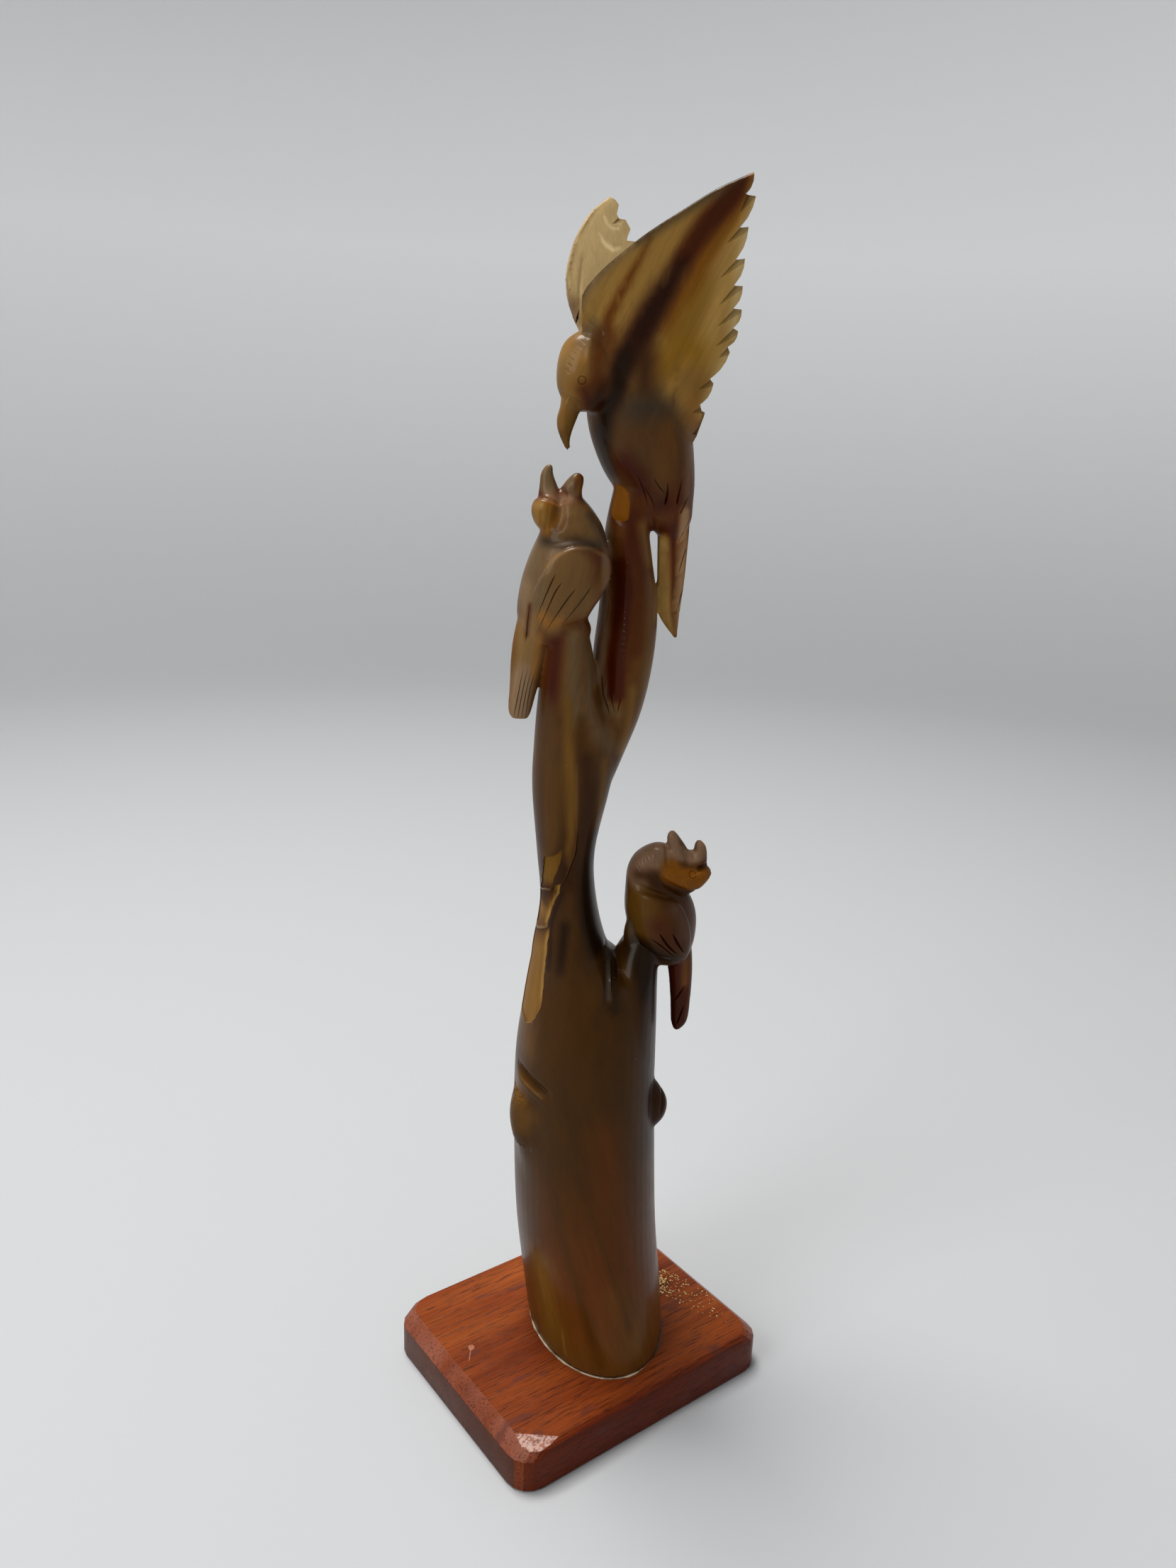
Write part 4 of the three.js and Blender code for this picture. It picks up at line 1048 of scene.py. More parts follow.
# each stroke: tone, strength, half width, softness, [x, z] or [x, z, half width] points
paintGroups = {
    "farWing": {"depth": (5.5, 60), "strokes": [
        # the cream is partly the pale horn, partly a painted glow of light shining through the thin wing
        ("cream", 1, 16, 2, [(-8, 345), (-4, 366)]),
        ("cream", 1, 12, 2, [(4, 330), (0, 350)]),
        ("smoke", 0.8, 0.3, 0.9, [(-17, 339.6), (-19.3, 351), (-17.3, 362), (-12.3, 371), (-8.4, 375.4)]),
        ("mist", 0.9, 1.2, 3, [(-16.5, 339), (-17.6, 344)]),
        ("olive", 0.8, 5, 6, [(-2, 322), (8, 322)]),
        ("umber", 0.9, 6, 6, [(-4, 312), (8, 312)]),
        ("shell", 0.9, 0.3, 0.6, [(-9.1, 369.6), (-8.3, 368), (-6.8, 367), (-5, 367)]),
        ("shell", 0.95, 0.5, 0.7, [(-10.5, 364.8, 0.1), (-9.3, 363, 0.4), (-7.8, 361.8, 0.6),
            (-6.3, 361.1, 0.5), (-4.2, 361.7, 0.1)]),
        ("smoke", 0.5, 0.1, 0.4, [(-15.5, 344.4), (-15.7, 348), (-15.4, 354.4), (-15, 360)]),
    ]},
    "nearWing": {"depth": (-60, 3), "strokes": [
        # the lighter olive, straw, gold and cream zones are partly the horn's own colour, partly a painted
        # glow of light shining through the thin wing
        ("olive", 1, 13, 5, [(-2, 334), (4, 346), (18, 361)]),
        ("olive", 1, 8, 5, [(16, 322), (22, 340), (26, 362)]),
        ("straw", 0.9, 3.6, 3.4, [(19.6, 329), (21.8, 338), (23.6, 350), (25.4, 361)]),
        ("honey", 0.7, 3, 4, [(17, 326), (19, 318), (18, 312)]),
        ("gold", 0.95, 3.2, 4.5, [(8.8, 327.4), (12.4, 332), (16.4, 331)]),
        ("gold", 0.7, 2.4, 3.5, [(12, 334), (15.6, 342), (17, 347)]),
        ("cream", 0.9, 1.8, 2, [(29.6, 369, 0.8), (28.4, 360), (27.8, 352), (27.6, 344), (27, 336)]),
        ("cream", 0.7, 1.4, 2, [(25.6, 331), (22.6, 322), (20, 315)]),
        ("rust", 0.85, 2, 2.4, [(25.6, 368), (21, 360), (16.6, 352.4), (12.4, 345), (8.6, 337)]),
        ("rust", 0.6, 0.7, 1.6, [(25.2, 363), (21.4, 357.4), (17.6, 350.4), (14, 343)]),
        ("russet", 1, 3.4, 1.8, [(27.6, 372.8, 1.6), (23.2, 367.7, 2.8), (18.2, 362.2, 3), (14.6, 357, 2.8),
            (12, 352.6, 2.6)]),
        ("garnet", 1, 3.4, 2.6, [(11.4, 352, 1.8), (8.4, 346.4, 3), (4.4, 339.6, 3.6), (0.8, 332.9, 3.8),
            (-1.4, 328.9, 3.6), (-4.1, 323.7, 3), (-5.4, 317.5, 2.6)]),
        ("honey", 0.9, 0.8, 1.2, [(29.2, 373.8), (28.2, 370.4)]),
        ("chestnut", 0.95, 0.5, 1.2, [(3.2, 357.5, 0.2), (1.4, 354.3, 0.4), (-1.3, 349.4, 0.8),
            (-4, 344.4, 1.1), (-7, 338.4, 1.3), (-8.6, 333.9, 1.4), (-9.8, 327.6, 1.2), (-9.4, 321, 1)]),
        ("redBrown", 0.8, 2, 2.5, [(-6.6, 334), (-7.4, 328), (-7.4, 320)]),
        # a grey band under the leading edge: partly the horn's own grey, partly a painted highlight on the
        # edge
        ("smoke", 0.8, 1.2, 1.8, [(-15, 341), (-12, 347), (-4, 354.4), (4, 360.2), (11, 364.6), (20, 370)]),
        ("soot", 0.5, 0.9, 1.8, [(0, 357), (11, 364), (20, 369.4), (25, 372)]),
        ("soot", 0.9, 0.4, 0.9, [(-15.2, 342.6, 0.1), (-12, 347.8, 0.2), (-4, 355, 0.3), (4, 360.8, 0.4),
            (11, 365.2, 0.5), (20, 370.7, 0.7), (26, 373.6, 0.6)]),
        ("redBrown", 0.5, 0.25, 0.4, [(11.9, 326), (11.5, 316.2)]),
        ("garnet", 0.6, 0.25, 0.3, [(16.2, 350.3), (16.4, 350.3)]),
    ]},
    "adult": {"depth": (-60, 3), "blend": 3, "strokes": [
        ("umber", 1, 10, 5, [(4, 299), (4, 307)]),
        ("bark", 0.9, 3.2, 4, [(3, 328), (3.4, 321)]),
        ("shadow", 0.95, 3.6, 4, [(1, 315.4), (6, 315.6), (9, 314)]),
        ("sienna", 0.8, 3, 4, [(10, 311), (10.6, 304), (10, 298)]),
        ("oxblood", 0.95, 2.4, 3, [(-1, 301), (3, 297.6), (5, 293)]),
        ("oxblood", 0.5, 2, 3, [(9, 289), (12.6, 290)]),
        ("chestnut", 0.7, 1.2, 2, [(14, 294), (14, 287)]),
        ("ink", 0.95, 2.2, 2.6, [(-2.6, 328), (-3.8, 321), (-6.2, 315), (-7.4, 309), (-7.2, 304, 1.4),
            (-5, 298, 0.8)]),
        ("mist", 0.8, 1.4, 1.8, [(17.2, 311), (17.6, 304), (17.4, 298), (17.6, 291)]),
        ("ochre", 0.5, 1.6, 3, [(16.6, 318), (18.4, 313)]),
    ]},
    "adultHead": {"depth": (-60, -1.5), "strokes": [
        ("honey", 1, 6, 3, [(-13.6, 331), (-13.4, 322)]),
        ("smoke", 0.9, 2.4, 3, [(-11.4, 335), (-13, 332.4)]),
        ("buff", 0.9, 2, 2.4, [(-17.4, 329), (-19, 322)]),
        ("honey", 0.9, 2, 2, [(-14, 326), (-16, 321)]),
        ("russet", 0.9, 1.8, 2.4, [(-13, 319.6), (-11.6, 316.4)]),
        ("garnet", 0.95, 1.8, 3, [(-9.6, 316.6), (-8.6, 321)]),
        ("redBrown", 0.85, 1.6, 2.2, [(-9, 334), (-9.4, 327), (-9.6, 322)]),
        ("honey", 1, 2.8, 1.5, [(-18.4, 317), (-19, 312)]),
        ("amber", 0.8, 1.2, 1.4, [(-16.4, 312.4), (-17.6, 308), (-17, 305)]),
        # painted highlights along the ridges of the crown's scallops
        ("buff", 0.35, 0.3, 0.5, [(-12.1, 334), (-14.4, 330.8), (-16.6, 327.6), (-17.9, 324.6)]),
    ]},
    "adultTail": {"strokes": [
        ("straw", 1, 3, 1.4, [(11.3, 279.4, 1.8), (11.6, 270, 2.2), (12.4, 258, 2.4), (15.6, 251.4, 0.8)]),
        # painted shadow where the tail comes out under the body
        ("sienna", 0.8, 1.6, 3, [(10.4, 286), (12, 286)]),
        ("sand", 1, 1.6, 1.1, [(17.2, 288, 1.6), (17.2, 276, 1.7), (17.4, 262, 1.2), (17.2, 252, 0.4)]),
        ("redBrown", 0.7, 0.3, 0.4, [(14.6, 286), (15, 274), (16.2, 258)]),
        ("smoke", 0.6, 0.4, 0.6, [(9.2, 286), (9.9, 271), (10.6, 259)]),
    ]},
    "branch": {"strokes": [
        ("chestnut", 0.8, 2, 2.4, [(5, 290), (6, 286)]),
        ("honey", 0.85, 1.6, 2, [(5, 283.6), (6.6, 278), (7.6, 273)]),
        ("rust", 0.7, 2, 1.6, [(-1.6, 292), (-1.4, 287)]),
        ("sienna", 0.8, 2, 2, [(-2, 282.4), (-3.6, 276)]),
        ("redBrown", 0.9, 2.4, 2.6, [(4, 270), (4.4, 258), (4.4, 248)]),
        ("fawn", 0.8, 1.3, 2, [(8, 268), (8.6, 250), (7.6, 236)]),
        ("oxblood", 1, 2.4, 1.2, [(0, 273, 1.6), (0.4, 266), (0, 258), (-0.8, 250, 2.6), (-1.2, 242, 3),
            (-1, 235, 2.6)]),
        ("mist", 0.95, 1.2, 0.9, [(-5, 282), (-5.4, 273), (-4.8, 262), (-5.2, 254), (-6, 244), (-6.8, 238)]),
        ("redBrown", 0.7, 0.7, 0.9, [(2.8, 262), (3, 250), (2.6, 242)]),
        ("honey", 0.95, 1.2, 1.6, [(4.2, 236), (3.8, 230), (3.2, 224), (1.6, 217)]),
        ("fawn", 0.8, 1, 1.4, [(8, 242), (7.4, 234), (6.6, 228)]),
        ("smoke", 0.6, 1.6, 1.6, [(-4, 230), (0, 229)]),
    ]},
    "leftStump": {"strokes": [
        ("oxblood", 0.95, 2.2, 2, [(-18.6, 253), (-19, 246), (-20, 238), (-20.4, 233)]),
        ("smoke", 0.9, 2.6, 2.6, [(-13.6, 252), (-13.4, 240), (-12.4, 228)]),
        ("smoke", 0.9, 1, 1.4, [(-9, 251), (-8.6, 242), (-9, 234), (-7.8, 227)]),
        ("smoke", 0.8, 2.4, 2.6, [(-6, 224), (-2, 219)]),
        ("brown", 0.7, 2, 3, [(-20.4, 229), (-17.6, 228)]),
        ("brown", 0.8, 1.2, 1.8, [(-11, 228), (-11, 218), (-10, 212)]),
        ("umber", 0.7, 1.4, 2.4, [(-21.6, 226), (-22, 214), (-21.6, 204)]),
    ]},
    "waist": {"strokes": [
        ("umber", 0.9, 2.8, 3, [(-22.4, 232), (-22, 218), (-20.6, 204), (-20, 192)]),
        ("amber", 1, 1.6, 1.5, [(-15.2, 234, 0.8), (-14.6, 221.5, 1.4), (-14, 211.6, 1.9),
            (-13.2, 201.5, 1.9), (-12.9, 191.5, 1.4), (-14.4, 185, 0.8)]),
        ("buff", 0.4, 0.3, 0.6, [(-11.9, 214), (-11.5, 202), (-11, 193)]),
        ("tan", 0.8, 2, 2.4, [(-17.6, 212), (-17, 200), (-18, 190), (-20.4, 185)]),
        ("brown", 1, 3, 3, [(-6, 206), (-6.4, 190), (-8, 176), (-10, 160)]),
        ("ink", 1, 2, 2.4, [(-5.2, 189), (-6.8, 181), (-8, 172), (-6.2, 163), (-3.6, 155)]),
        ("amber", 0.9, 1, 1.6, [(-3.4, 215), (-4, 205), (-4.8, 194)]),
        ("bark", 0.9, 1.8, 2.4, [(-9, 216), (-8, 204), (-8, 192)]),
        ("umber", 0.6, 2.4, 3, [(-12.6, 172), (-14, 156), (-14, 140)]),
        ("ink", 0.9, 1.3, 2, [(-14, 164), (-14.6, 156), (-15, 150)]),
        # painted shadow: a dark line along the right of the split flakes' ragged edges
        ("ink", 0.8, 0.5, 0.8, [(-15, 174.4), (-17.2, 168), (-18.4, 163), (-18.2, 157), (-18.6, 150)]),
        ("bark", 0.8, 0.9, 1.2, [(-14.8, 184), (-15.6, 180), (-16.8, 176.6)]),
        ("sienna", 0.8, 0.6, 1, [(-12.2, 190), (-12.6, 186.4), (-13.6, 183)]),
    ]},
    "trunk": {"strokes": [
        ("brown", 1, 12, 8, [(-8, 138), (-4, 128), (-2, 118)]),
        ("tan", 0.85, 3, 4, [(-26, 134), (-25, 122)]),
        ("garnet", 0.9, 2.6, 4, [(12, 150), (14, 132), (16, 112), (17.4, 88)]),
        # painted shade in the crotch's groove; beside it the grey walls, partly scraped horn, partly a
        # painted bluish sheen
        ("ink", 0.7, 1.6, 2.4, [(1, 152), (1.6, 145), (2, 139)]),
        ("slate", 0.85, 0.7, 1.2, [(-0.4, 152), (0, 147), (0.2, 142)]),
        ("bark", 0.95, 2.6, 2, [(18.6, 104), (19, 98)]),
        ("brown", 0.85, 4.6, 6, [(-25, 90), (-26.4, 72), (-24, 50), (-21.6, 24)]),
        ("amber", 0.95, 3.6, 5, [(-18.6, 50), (-16, 34), (-14, 20)]),
        ("chestnut", 0.75, 4, 8, [(1, 98), (3, 80), (5, 60), (6, 46)]),
        ("amber", 0.5, 3.6, 5, [(7, 44), (12, 34), (14, 26)]),
        ("brown", 0.75, 0.7, 1.6, [(-15.1, 105.5), (-11.1, 94.1), (-7.1, 83.6), (-2.3, 71.2), (2.6, 57.7),
            (7.8, 42.9), (11.4, 29.4)]),
        ("brown", 0.5, 1.1, 2.4, [(-20, 96), (-16, 78), (-10, 58), (-3, 36), (2, 20)]),
        ("brown", 0.4, 0.8, 2, [(-17.6, 90), (-13, 70), (-7.6, 50), (-1, 28)]),
        ("brown", 0.4, 0.8, 1.8, [(2, 76), (7, 56), (13, 34)]),
        ("honey", 0.9, 0.35, 0.4, [(-10.6, 26.4), (-10, 22), (-9.2, 18)]),
        # a painted highlight: the faint light streak down the trunk's left side
        ("buff", 0.5, 0.2, 0.4, [(-19.7, 47.9), (-18, 41), (-16.3, 35.1)]),
        ("sienna", 0.6, 3, 4, [(-20, 15), (0, 15), (18, 15)]),
    ]},
    "flakeRimsAndKnot": {"depth": (-60, 0), "blend": 3, "strokes": [
        ("buff", 0.85, 0.3, 0.3, [(-25.5, 170.8), (-22.3, 172.1), (-20.4, 173.8), (-19, 174.3)]),
        ("buff", 0.85, 0.3, 0.3, [(-27, 158.2), (-23.1, 159.1), (-21.3, 161), (-19.6, 162.3)]),
        ("buff", 0.4, 0.15, 0.3, [(-11.4, 189.8), (-11.6, 187), (-12.2, 184.8), (-13, 182.7),
            (-14.1, 179.2)]),
        ("tan", 0.95, 3, 3, [(-27.2, 107), (-26.4, 97), (-24, 101)]),
        # painted shade in the knot's crease, and below it a painted highlight on the lip
        ("brown", 0.95, 0.9, 1.3, [(-27.6, 114.2), (-24.4, 113.6), (-21, 112.4), (-17.8, 110.9)]),
        ("buff", 0.5, 0.3, 0.5, [(-27.4, 111.4), (-23.4, 110.4), (-19.4, 108.8)]),
    ]},
    "leftChick": {"strokes": [
        ("smoke", 1, 6, 3, [(-24, 276), (-25.6, 262)]),
        ("fawn", 1, 7, 3, [(-15, 271), (-14.6, 264)]),
        ("fawn", 1, 4, 2.4, [(-18.6, 260), (-20, 256)]),
        ("ochre", 0.9, 1.4, 2.4, [(-23, 258), (-21.4, 255.6), (-18.6, 256.6)]),
        ("sienna", 0.8, 0.8, 1.6, [(-16.6, 255.6), (-13.6, 256.6)]),
        ("haze", 0.7, 1.6, 2.6, [(-27.6, 266), (-27.8, 259)]),
        ("honey", 0.6, 0.9, 1.4, [(-5, 272), (-7.6, 265), (-11, 259.6)]),
        # a painted highlight along the wing's upper rim
        ("buff", 0.85, 0.3, 0.7, [(-21.6, 272.2), (-18.7, 275.8), (-14.5, 277.6), (-10.3, 277.8),
            (-6, 275.6)]),
        ("fawn", 1, 5, 2, [(-20, 283.4), (-13, 285.4), (-9, 282.6)]),
        ("shadow", 0.95, 1.2, 1.6, [(-22.6, 279), (-18.4, 278.2), (-13.6, 279.2), (-9, 278.4)]),
        ("shadow", 0.7, 1.2, 1.6, [(-10, 286.6), (-7.2, 283), (-6, 279)]),
        ("olive", 1, 2.6, 1.6, [(-24.6, 288), (-24.4, 284.6)]),
        ("rust", 0.9, 1.4, 1.6, [(-22.4, 282), (-20.8, 285), (-21.4, 289)]),
        ("rust", 0.7, 0.3, 0.4, [(-24.1, 288.1), (-24.5, 283.4)]),
        ("olive", 0.7, 0.3, 0.4, [(-21.6, 288.5), (-22.4, 281.5)]),
        ("smoke", 1, 2.4, 1.2, [(-22.6, 294), (-22.6, 300)]),
        ("haze", 0.7, 1.6, 1.8, [(-21.4, 291.6), (-18.6, 290.4), (-15.4, 291.4), (-14, 293)]),
        # painted shade under the cheek
        ("umber", 0.85, 1, 1.5, [(-20, 281.4), (-17.8, 283.2), (-16.4, 285)]),
        ("smoke", 0.9, 1.6, 0.8, [(-16.6, 294), (-15.8, 296.6)]),
        ("rust", 0.7, 0.9, 0.9, [(-13.6, 296.4), (-13.2, 293)]),
    ]},
    "leftTail": {"strokes": [
        ("buff", 1, 3.4, 1.8, [(-27.4, 255), (-27.6, 244)]),
        ("haze", 1, 3.4, 1.8, [(-28.6, 240), (-29.6, 227)]),
        ("ochre", 0.7, 0.7, 1.2, [(-23.6, 252), (-25.4, 240)]),
        ("oxblood", 0.7, 0.5, 0.8, [(-26.7, 261), (-27.6, 252)]),
    ]},
    "rightChick": {"strokes": [
        ("tan", 1, 6, 3, [(9, 169), (12, 164)]),
        ("russet", 0.9, 3.4, 4, [(15.6, 163), (17.4, 160), (20, 157)]),
        ("mauve", 0.7, 2, 2.4, [(20, 168.6), (22.6, 165), (23.6, 160)]),
        ("mauve", 0.9, 2.4, 2, [(25.4, 168), (26.8, 160), (26.8, 152)]),
        ("mist", 1, 4, 2.4, [(7.4, 178), (10.4, 183), (15, 184.4)]),
        # painted shade in the hollow under the head
        ("bark", 0.9, 1.6, 2, [(8.6, 178.4), (11.4, 178.4), (14, 176.6)]),
        ("rust", 1, 3.6, 1.8, [(18.6, 179), (24, 177), (28.4, 177.4)]),
        ("rust", 0.9, 1.6, 1.4, [(17, 182), (19, 181)]),
        ("mist", 1, 2.4, 1.2, [(18, 190.6), (19, 186), (21.6, 185)]),
        ("mist", 1, 2, 1.2, [(28, 188), (27.6, 184.6), (24.6, 183.6)]),
        ("bark", 0.9, 0.7, 0.9, [(27.2, 180.6), (30, 181.6)]),
        ("ink", 0.95, 2, 2.6, [(10, 156), (15, 153), (20, 150.6)]),
        ("bark", 0.6, 1, 1.6, [(14, 175.6), (19, 173), (24, 171.8)]),
        # a painted highlight: the grey-blue of a small flat facet catching the light
        ("slate", 0.9, 1, 0.8, [(8, 156.4), (7.4, 155.2)]),
        ("slate", 0.5, 1.2, 1, [(6.4, 161.6), (7, 158)]),
    ]},
    "rightTail": {"strokes": [
        ("oxblood", 1, 4, 1.8, [(23.4, 146), (24, 126)]),
        ("honey", 0.7, 1.2, 1.6, [(24.8, 148), (25, 140)]),
        ("smoke", 0.5, 0.4, 0.6, [(26.8, 150), (27, 136), (26, 127)]),
    ]},
    "rightStump": {"strokes": [
        ("ink", 0.9, 3, 3, [(8, 153), (11, 148), (13, 142)]),
    ]},
}
# edges left without a polish
mattStrokes = [
    ("matt", 1, 0.9, 0.9, [(-15.2, 342.6), (-12, 347.8), (-4, 355), (4, 360.8), (11, 365.2), (20, 370.7),
        (29, 374.9)]),
    ("matt", 1, 0.9, 0.9, [(-17, 339.6), (-19.3, 351), (-17.3, 362), (-12.3, 371), (-8.4, 375.4)]),
]
flakeStrokes = [
    ("amber", 1, 9, 1, [(-20, 180)]),
    ("tan", 1, 8, 1, [(-20, 167)]),
    ("bark", 0.95, 1.9, 1.6, [(-19, 174), (-21.6, 171.6), (-22.4, 167.4), (-24.4, 163.6)]),
    ("honey", 1, 12, 2, [(-23, 156), (-24, 142)]),
    ("bark", 0.6, 2, 3, [(-19.4, 162), (-22.6, 159), (-26, 157)]),
    ("honey", 0.9, 3, 4, [(-24, 134), (-24, 128)]),
    ("straw", 0.7, 0.35, 0.5, [(-16, 176.6), (-16.4, 173.6), (-18.3, 169.3), (-19.1, 166), (-19.9, 162.9)]),
    ("straw", 0.7, 0.35, 0.5, [(-19.1, 160.6), (-19.8, 156.6), (-19.8, 153), (-20.4, 145), (-20.7, 139.6)]),
    ("brown", 0.7, 1, 2, [(-25.6, 156), (-27.4, 148), (-29, 140), (-29, 132)]),
    ("rust", 1, 9, 1, [(-2, 290)]),
]
grain = {
    "heights": [15, 110, 150, 215, 290, 310, 375],
    "shifts": [20, -12, -12, -14, 2, -6, 27],  # how far the fibres lean across the face at each height
    "farWingDepth": (5, 8),  # past this depth and above this height they stand upright
    "farWingFrom": 318,
}


def paintTone(places, base, strokes, depth=(-60, 60), blend=0.6):
    x, y, z = places.T
    inDepth = smoothStep(depth[0] - blend, depth[0] + blend, y)
    inDepth *= 1 - smoothStep(depth[1] - blend, depth[1] + blend, y)
    for tone, strength, width, softness, points in strokes:
        line = np.array([list(p) + [width] * (3 - len(p)) for p in points], float)
        reach = line[:, 2].max() + softness
        low, high = line.min(0) - reach, line.max(0) + reach
        near = np.where((x > low[0]) & (x < high[0]) & (z > low[1]) & (z < high[1]) & (inDepth > 0))[0]
        gap = gapToLine(x[near], z[near], line)
        share = (1 - smoothStep(-softness, softness, gap)) * strength * inDepth[near]
        base[near] += (np.array(hornTones[tone]) - base[near]) * share[:, None]


def paintHorn(mesh):
    places, _ = meshArrays(mesh)
    count = len(places)
    heights = [h for h, _ in groundByHeight]
    ground = np.array([hornTones[tone] for _, tone in groundByHeight], float)
    tones = np.stack([np.interp(places[:, 2], heights, ground[:, k]) for k in range(3)], 1)
    for group in paintGroups.values():
        paintTone(places, tones, **group)
    flaked = tones.copy()
    paintTone(places, flaked, flakeStrokes)
    for name, values in (("hornTone", tones), ("flakeTone", flaked)):
        layer = mesh.color_attributes.new(name, "FLOAT_COLOR", "POINT")
        layer.data.foreach_set("color", np.hstack([asLight(values), np.ones((count, 1))]).ravel())
    polish = np.ones((count, 3))
    paintTone(places, polish, mattStrokes)
    layer = mesh.attributes.new("polish", "FLOAT", "POINT")
    layer.data.foreach_set("value", polish[:, 0])
    lean = np.interp(places[:, 2], grain["heights"], grain["shifts"])
    lean *= 1 - smoothStep(*grain["farWingDepth"], places[:, 1]) * (places[:, 2] > grain["farWingFrom"])
    fibres = places.copy()
    fibres[:, 0] -= lean
    layer = mesh.attributes.new("fibres", "FLOAT_VECTOR", "POINT")
    layer.data.foreach_set("vector", (fibres * mm).ravel())


paintHorn(carving.data)
print("horn painted")


# Onto the plinth

def ontoPlinth(obj):
    obj.data.transform(toPlinth)
    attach(obj, "root")


carving.name = "hornCarving"
ontoPlinth(carving)
selectOnly(carving)
bpy.ops.object.shade_smooth_by_angle(angle=math.radians(bench["shadeAngle"]))
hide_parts("carving")


# The plinth: reddish hardwood with the grain along its length

woodLook = {
    "light": linear(134, 66, 24),
    "middle": linear(113, 49, 17),
    "dark": linear(82, 29, 10),
    # noises: how tightly they are drawn along x, y and z, the detail and the distortion
    "bands": ((9, 110, 90), 3, 0.3),
    "streaks": ((60, 1800, 1400), 3),
    "cloud": ((30, 42, 42), 3),
    "streakShade": [(0.3, 0.7), (0.66, 1.22)],
    "streakStrength": 0.85,
    "drift": [(0.3, (0.78, 0.7, 0.72)), (0.7, (1.14, 1.1, 1.04))],
    "driftStrength": 0.8,
    # layers: a tone, where its mask starts and is full, and how much of it covers the wood
    "longSides": {"tone": linear(82, 20, 2), "mask": (0.55, 0.9), "streaks": 0.75, "cover": 0.85},
    "ends": {"tone": linear(66, 27, 8), "mask": (0.86, 0.97), "streaks": 0.9, "cover": 0.85},
    # a painted sheen: the lavender reflection the sloping end chamfers catch, laid into the colour in patches
    "paintedSheen": {"tone": linear(124, 76, 62), "mask": (0.3, 0.62), "slopes": (0.3, 0.6), "cover": 0.75},
    "pores": {"tone": linear(46, 14, 5), "mask": (0.35, 0.45), "noise": ((130, 2000, 1900), 2), "cover": 0.6},
    "stains": {"tone": linear(78, 40, 34), "mask": (0.58, 0.7), "noise": ((55, 130, 130), 2), "cover": 0.6},
    "worn": {"tone": linear(168, 136, 126), "mask": (0.44, 0.54), "noise": ((950, 1200, 950), 5),
             "cover": 0.75, "least": 0.2, "facing": (-0.175, -0.209, 0.962),
             "at": (-0.043, -0.0358, 0.01439), "rim": (-0.00016, -0.00003)},
    "roughness": 0.34,
    "roughnessSpread": 0.25,
    "poreDepth": -1.4,
    "relief": 0.35,
    "reliefHeight": 0.0002,
    "gloss": 0.14,
    "sheenTone": (1, 0.8, 0.6),
}
plinthEdges = {
    "width": 0.35,
    "segments": 3,
    "bevelFrom": 12,  # degrees
    "smoothBelow": 25,
}


def woodFinish():
    look = woodLook
    material, tree, shader, place = freshMaterial("reddish hardwood")
    facing = nodeIn(tree, "ShaderNodeTexCoord").outputs["Normal"]
    facing = nodeIn(tree, "ShaderNodeSeparateXYZ", {0: facing}).outputs
    endward, sideward = (maths(tree, "ABSOLUTE", facing[axis]) for axis in "XY")
    bands, streaks, cloud = (stretchedNoise(tree, place, *look[name])
                             for name in ("bands", "streaks", "cloud"))

    def times(first, second):
        return maths(tree, "MULTIPLY", first, second)

    def maskOf(value, layer):
        return maskFrom(tree, value, *layer["mask"])

    def noiseMask(layer):
        return maskOf(stretchedNoise(tree, place, *layer["noise"]), layer)

    def tinted(strength, colour, tint):
        return mixInto(tree, "MULTIPLY", strength, colour, tint)

    base = ramp(tree, bands, [(0.2, look["dark"]), (0.46, look["middle"]), (0.74, look["light"])])
    shade = ramp(tree, streaks, look["streakShade"])
    colour = tinted(look["streakStrength"], base, shade)
    colour = tinted(look["driftStrength"], colour, ramp(tree, cloud, look["drift"]))
    for value, layer in ((sideward, look["longSides"]), (endward, look["ends"])):
        tone = tinted(layer["streaks"], layer["tone"], shade)
        colour = mixInto(tree, "MIX", times(maskOf(value, layer), layer["cover"]), colour, tone)
    paintedSheen, pores, worn = look["paintedSheen"], look["pores"], look["worn"]
    # painted sheen: the sloping end chamfers are lightened in patches of the cloud noise, standing in for a
    # reflection
    slopes = times(maskFrom(tree, endward, *paintedSheen["slopes"]), maskFrom(tree, facing["Z"], *paintedSheen["slopes"]))
    paintedSheenPatches = times(slopes, maskOf(cloud, paintedSheen))
    pitted = maths(tree, "SUBTRACT", 1, noiseMask(pores))
    for mask, layer in ((paintedSheenPatches, paintedSheen), (pitted, pores), (noiseMask(look["stains"]), look["stains"])):
        colour = mixInto(tree, "MIX", times(mask, layer["cover"]), colour, layer["tone"])
    cornerWay = Vector(worn["facing"])
    rim = cornerWay.dot(Vector(worn["at"]))
    reached = nodeIn(tree, "ShaderNodeVectorMath", {0: place, 1: cornerWay}, operation="DOT_PRODUCT")
    corner = maskFrom(tree, reached.outputs["Value"], *(rim + offset for offset in worn["rim"]))
    rubbed = maths(tree, "ADD", times(noiseMask(worn), worn["cover"]), worn["least"])
    colour = mixInto(tree, "MIX", times(corner, rubbed), colour, worn["tone"])
    wear = nodeIn(tree, "ShaderNodeGroup", {"Vector": place, "Roughness": look["roughness"],
                                            "Spread": look["roughnessSpread"]}, node_tree=wearGroup)
    relief = maths(tree, "ADD", times(pitted, look["poreDepth"]), streaks)
    feed(shader, {
        "Base Color": colour,
        "Roughness": wear.outputs["Roughness"],
        "Normal": bumpFrom(tree, relief, look["relief"], look["reliefHeight"]),
        "Specular IOR Level": look["gloss"],
        "Specular Tint": look["sheenTone"],
    })
    return material


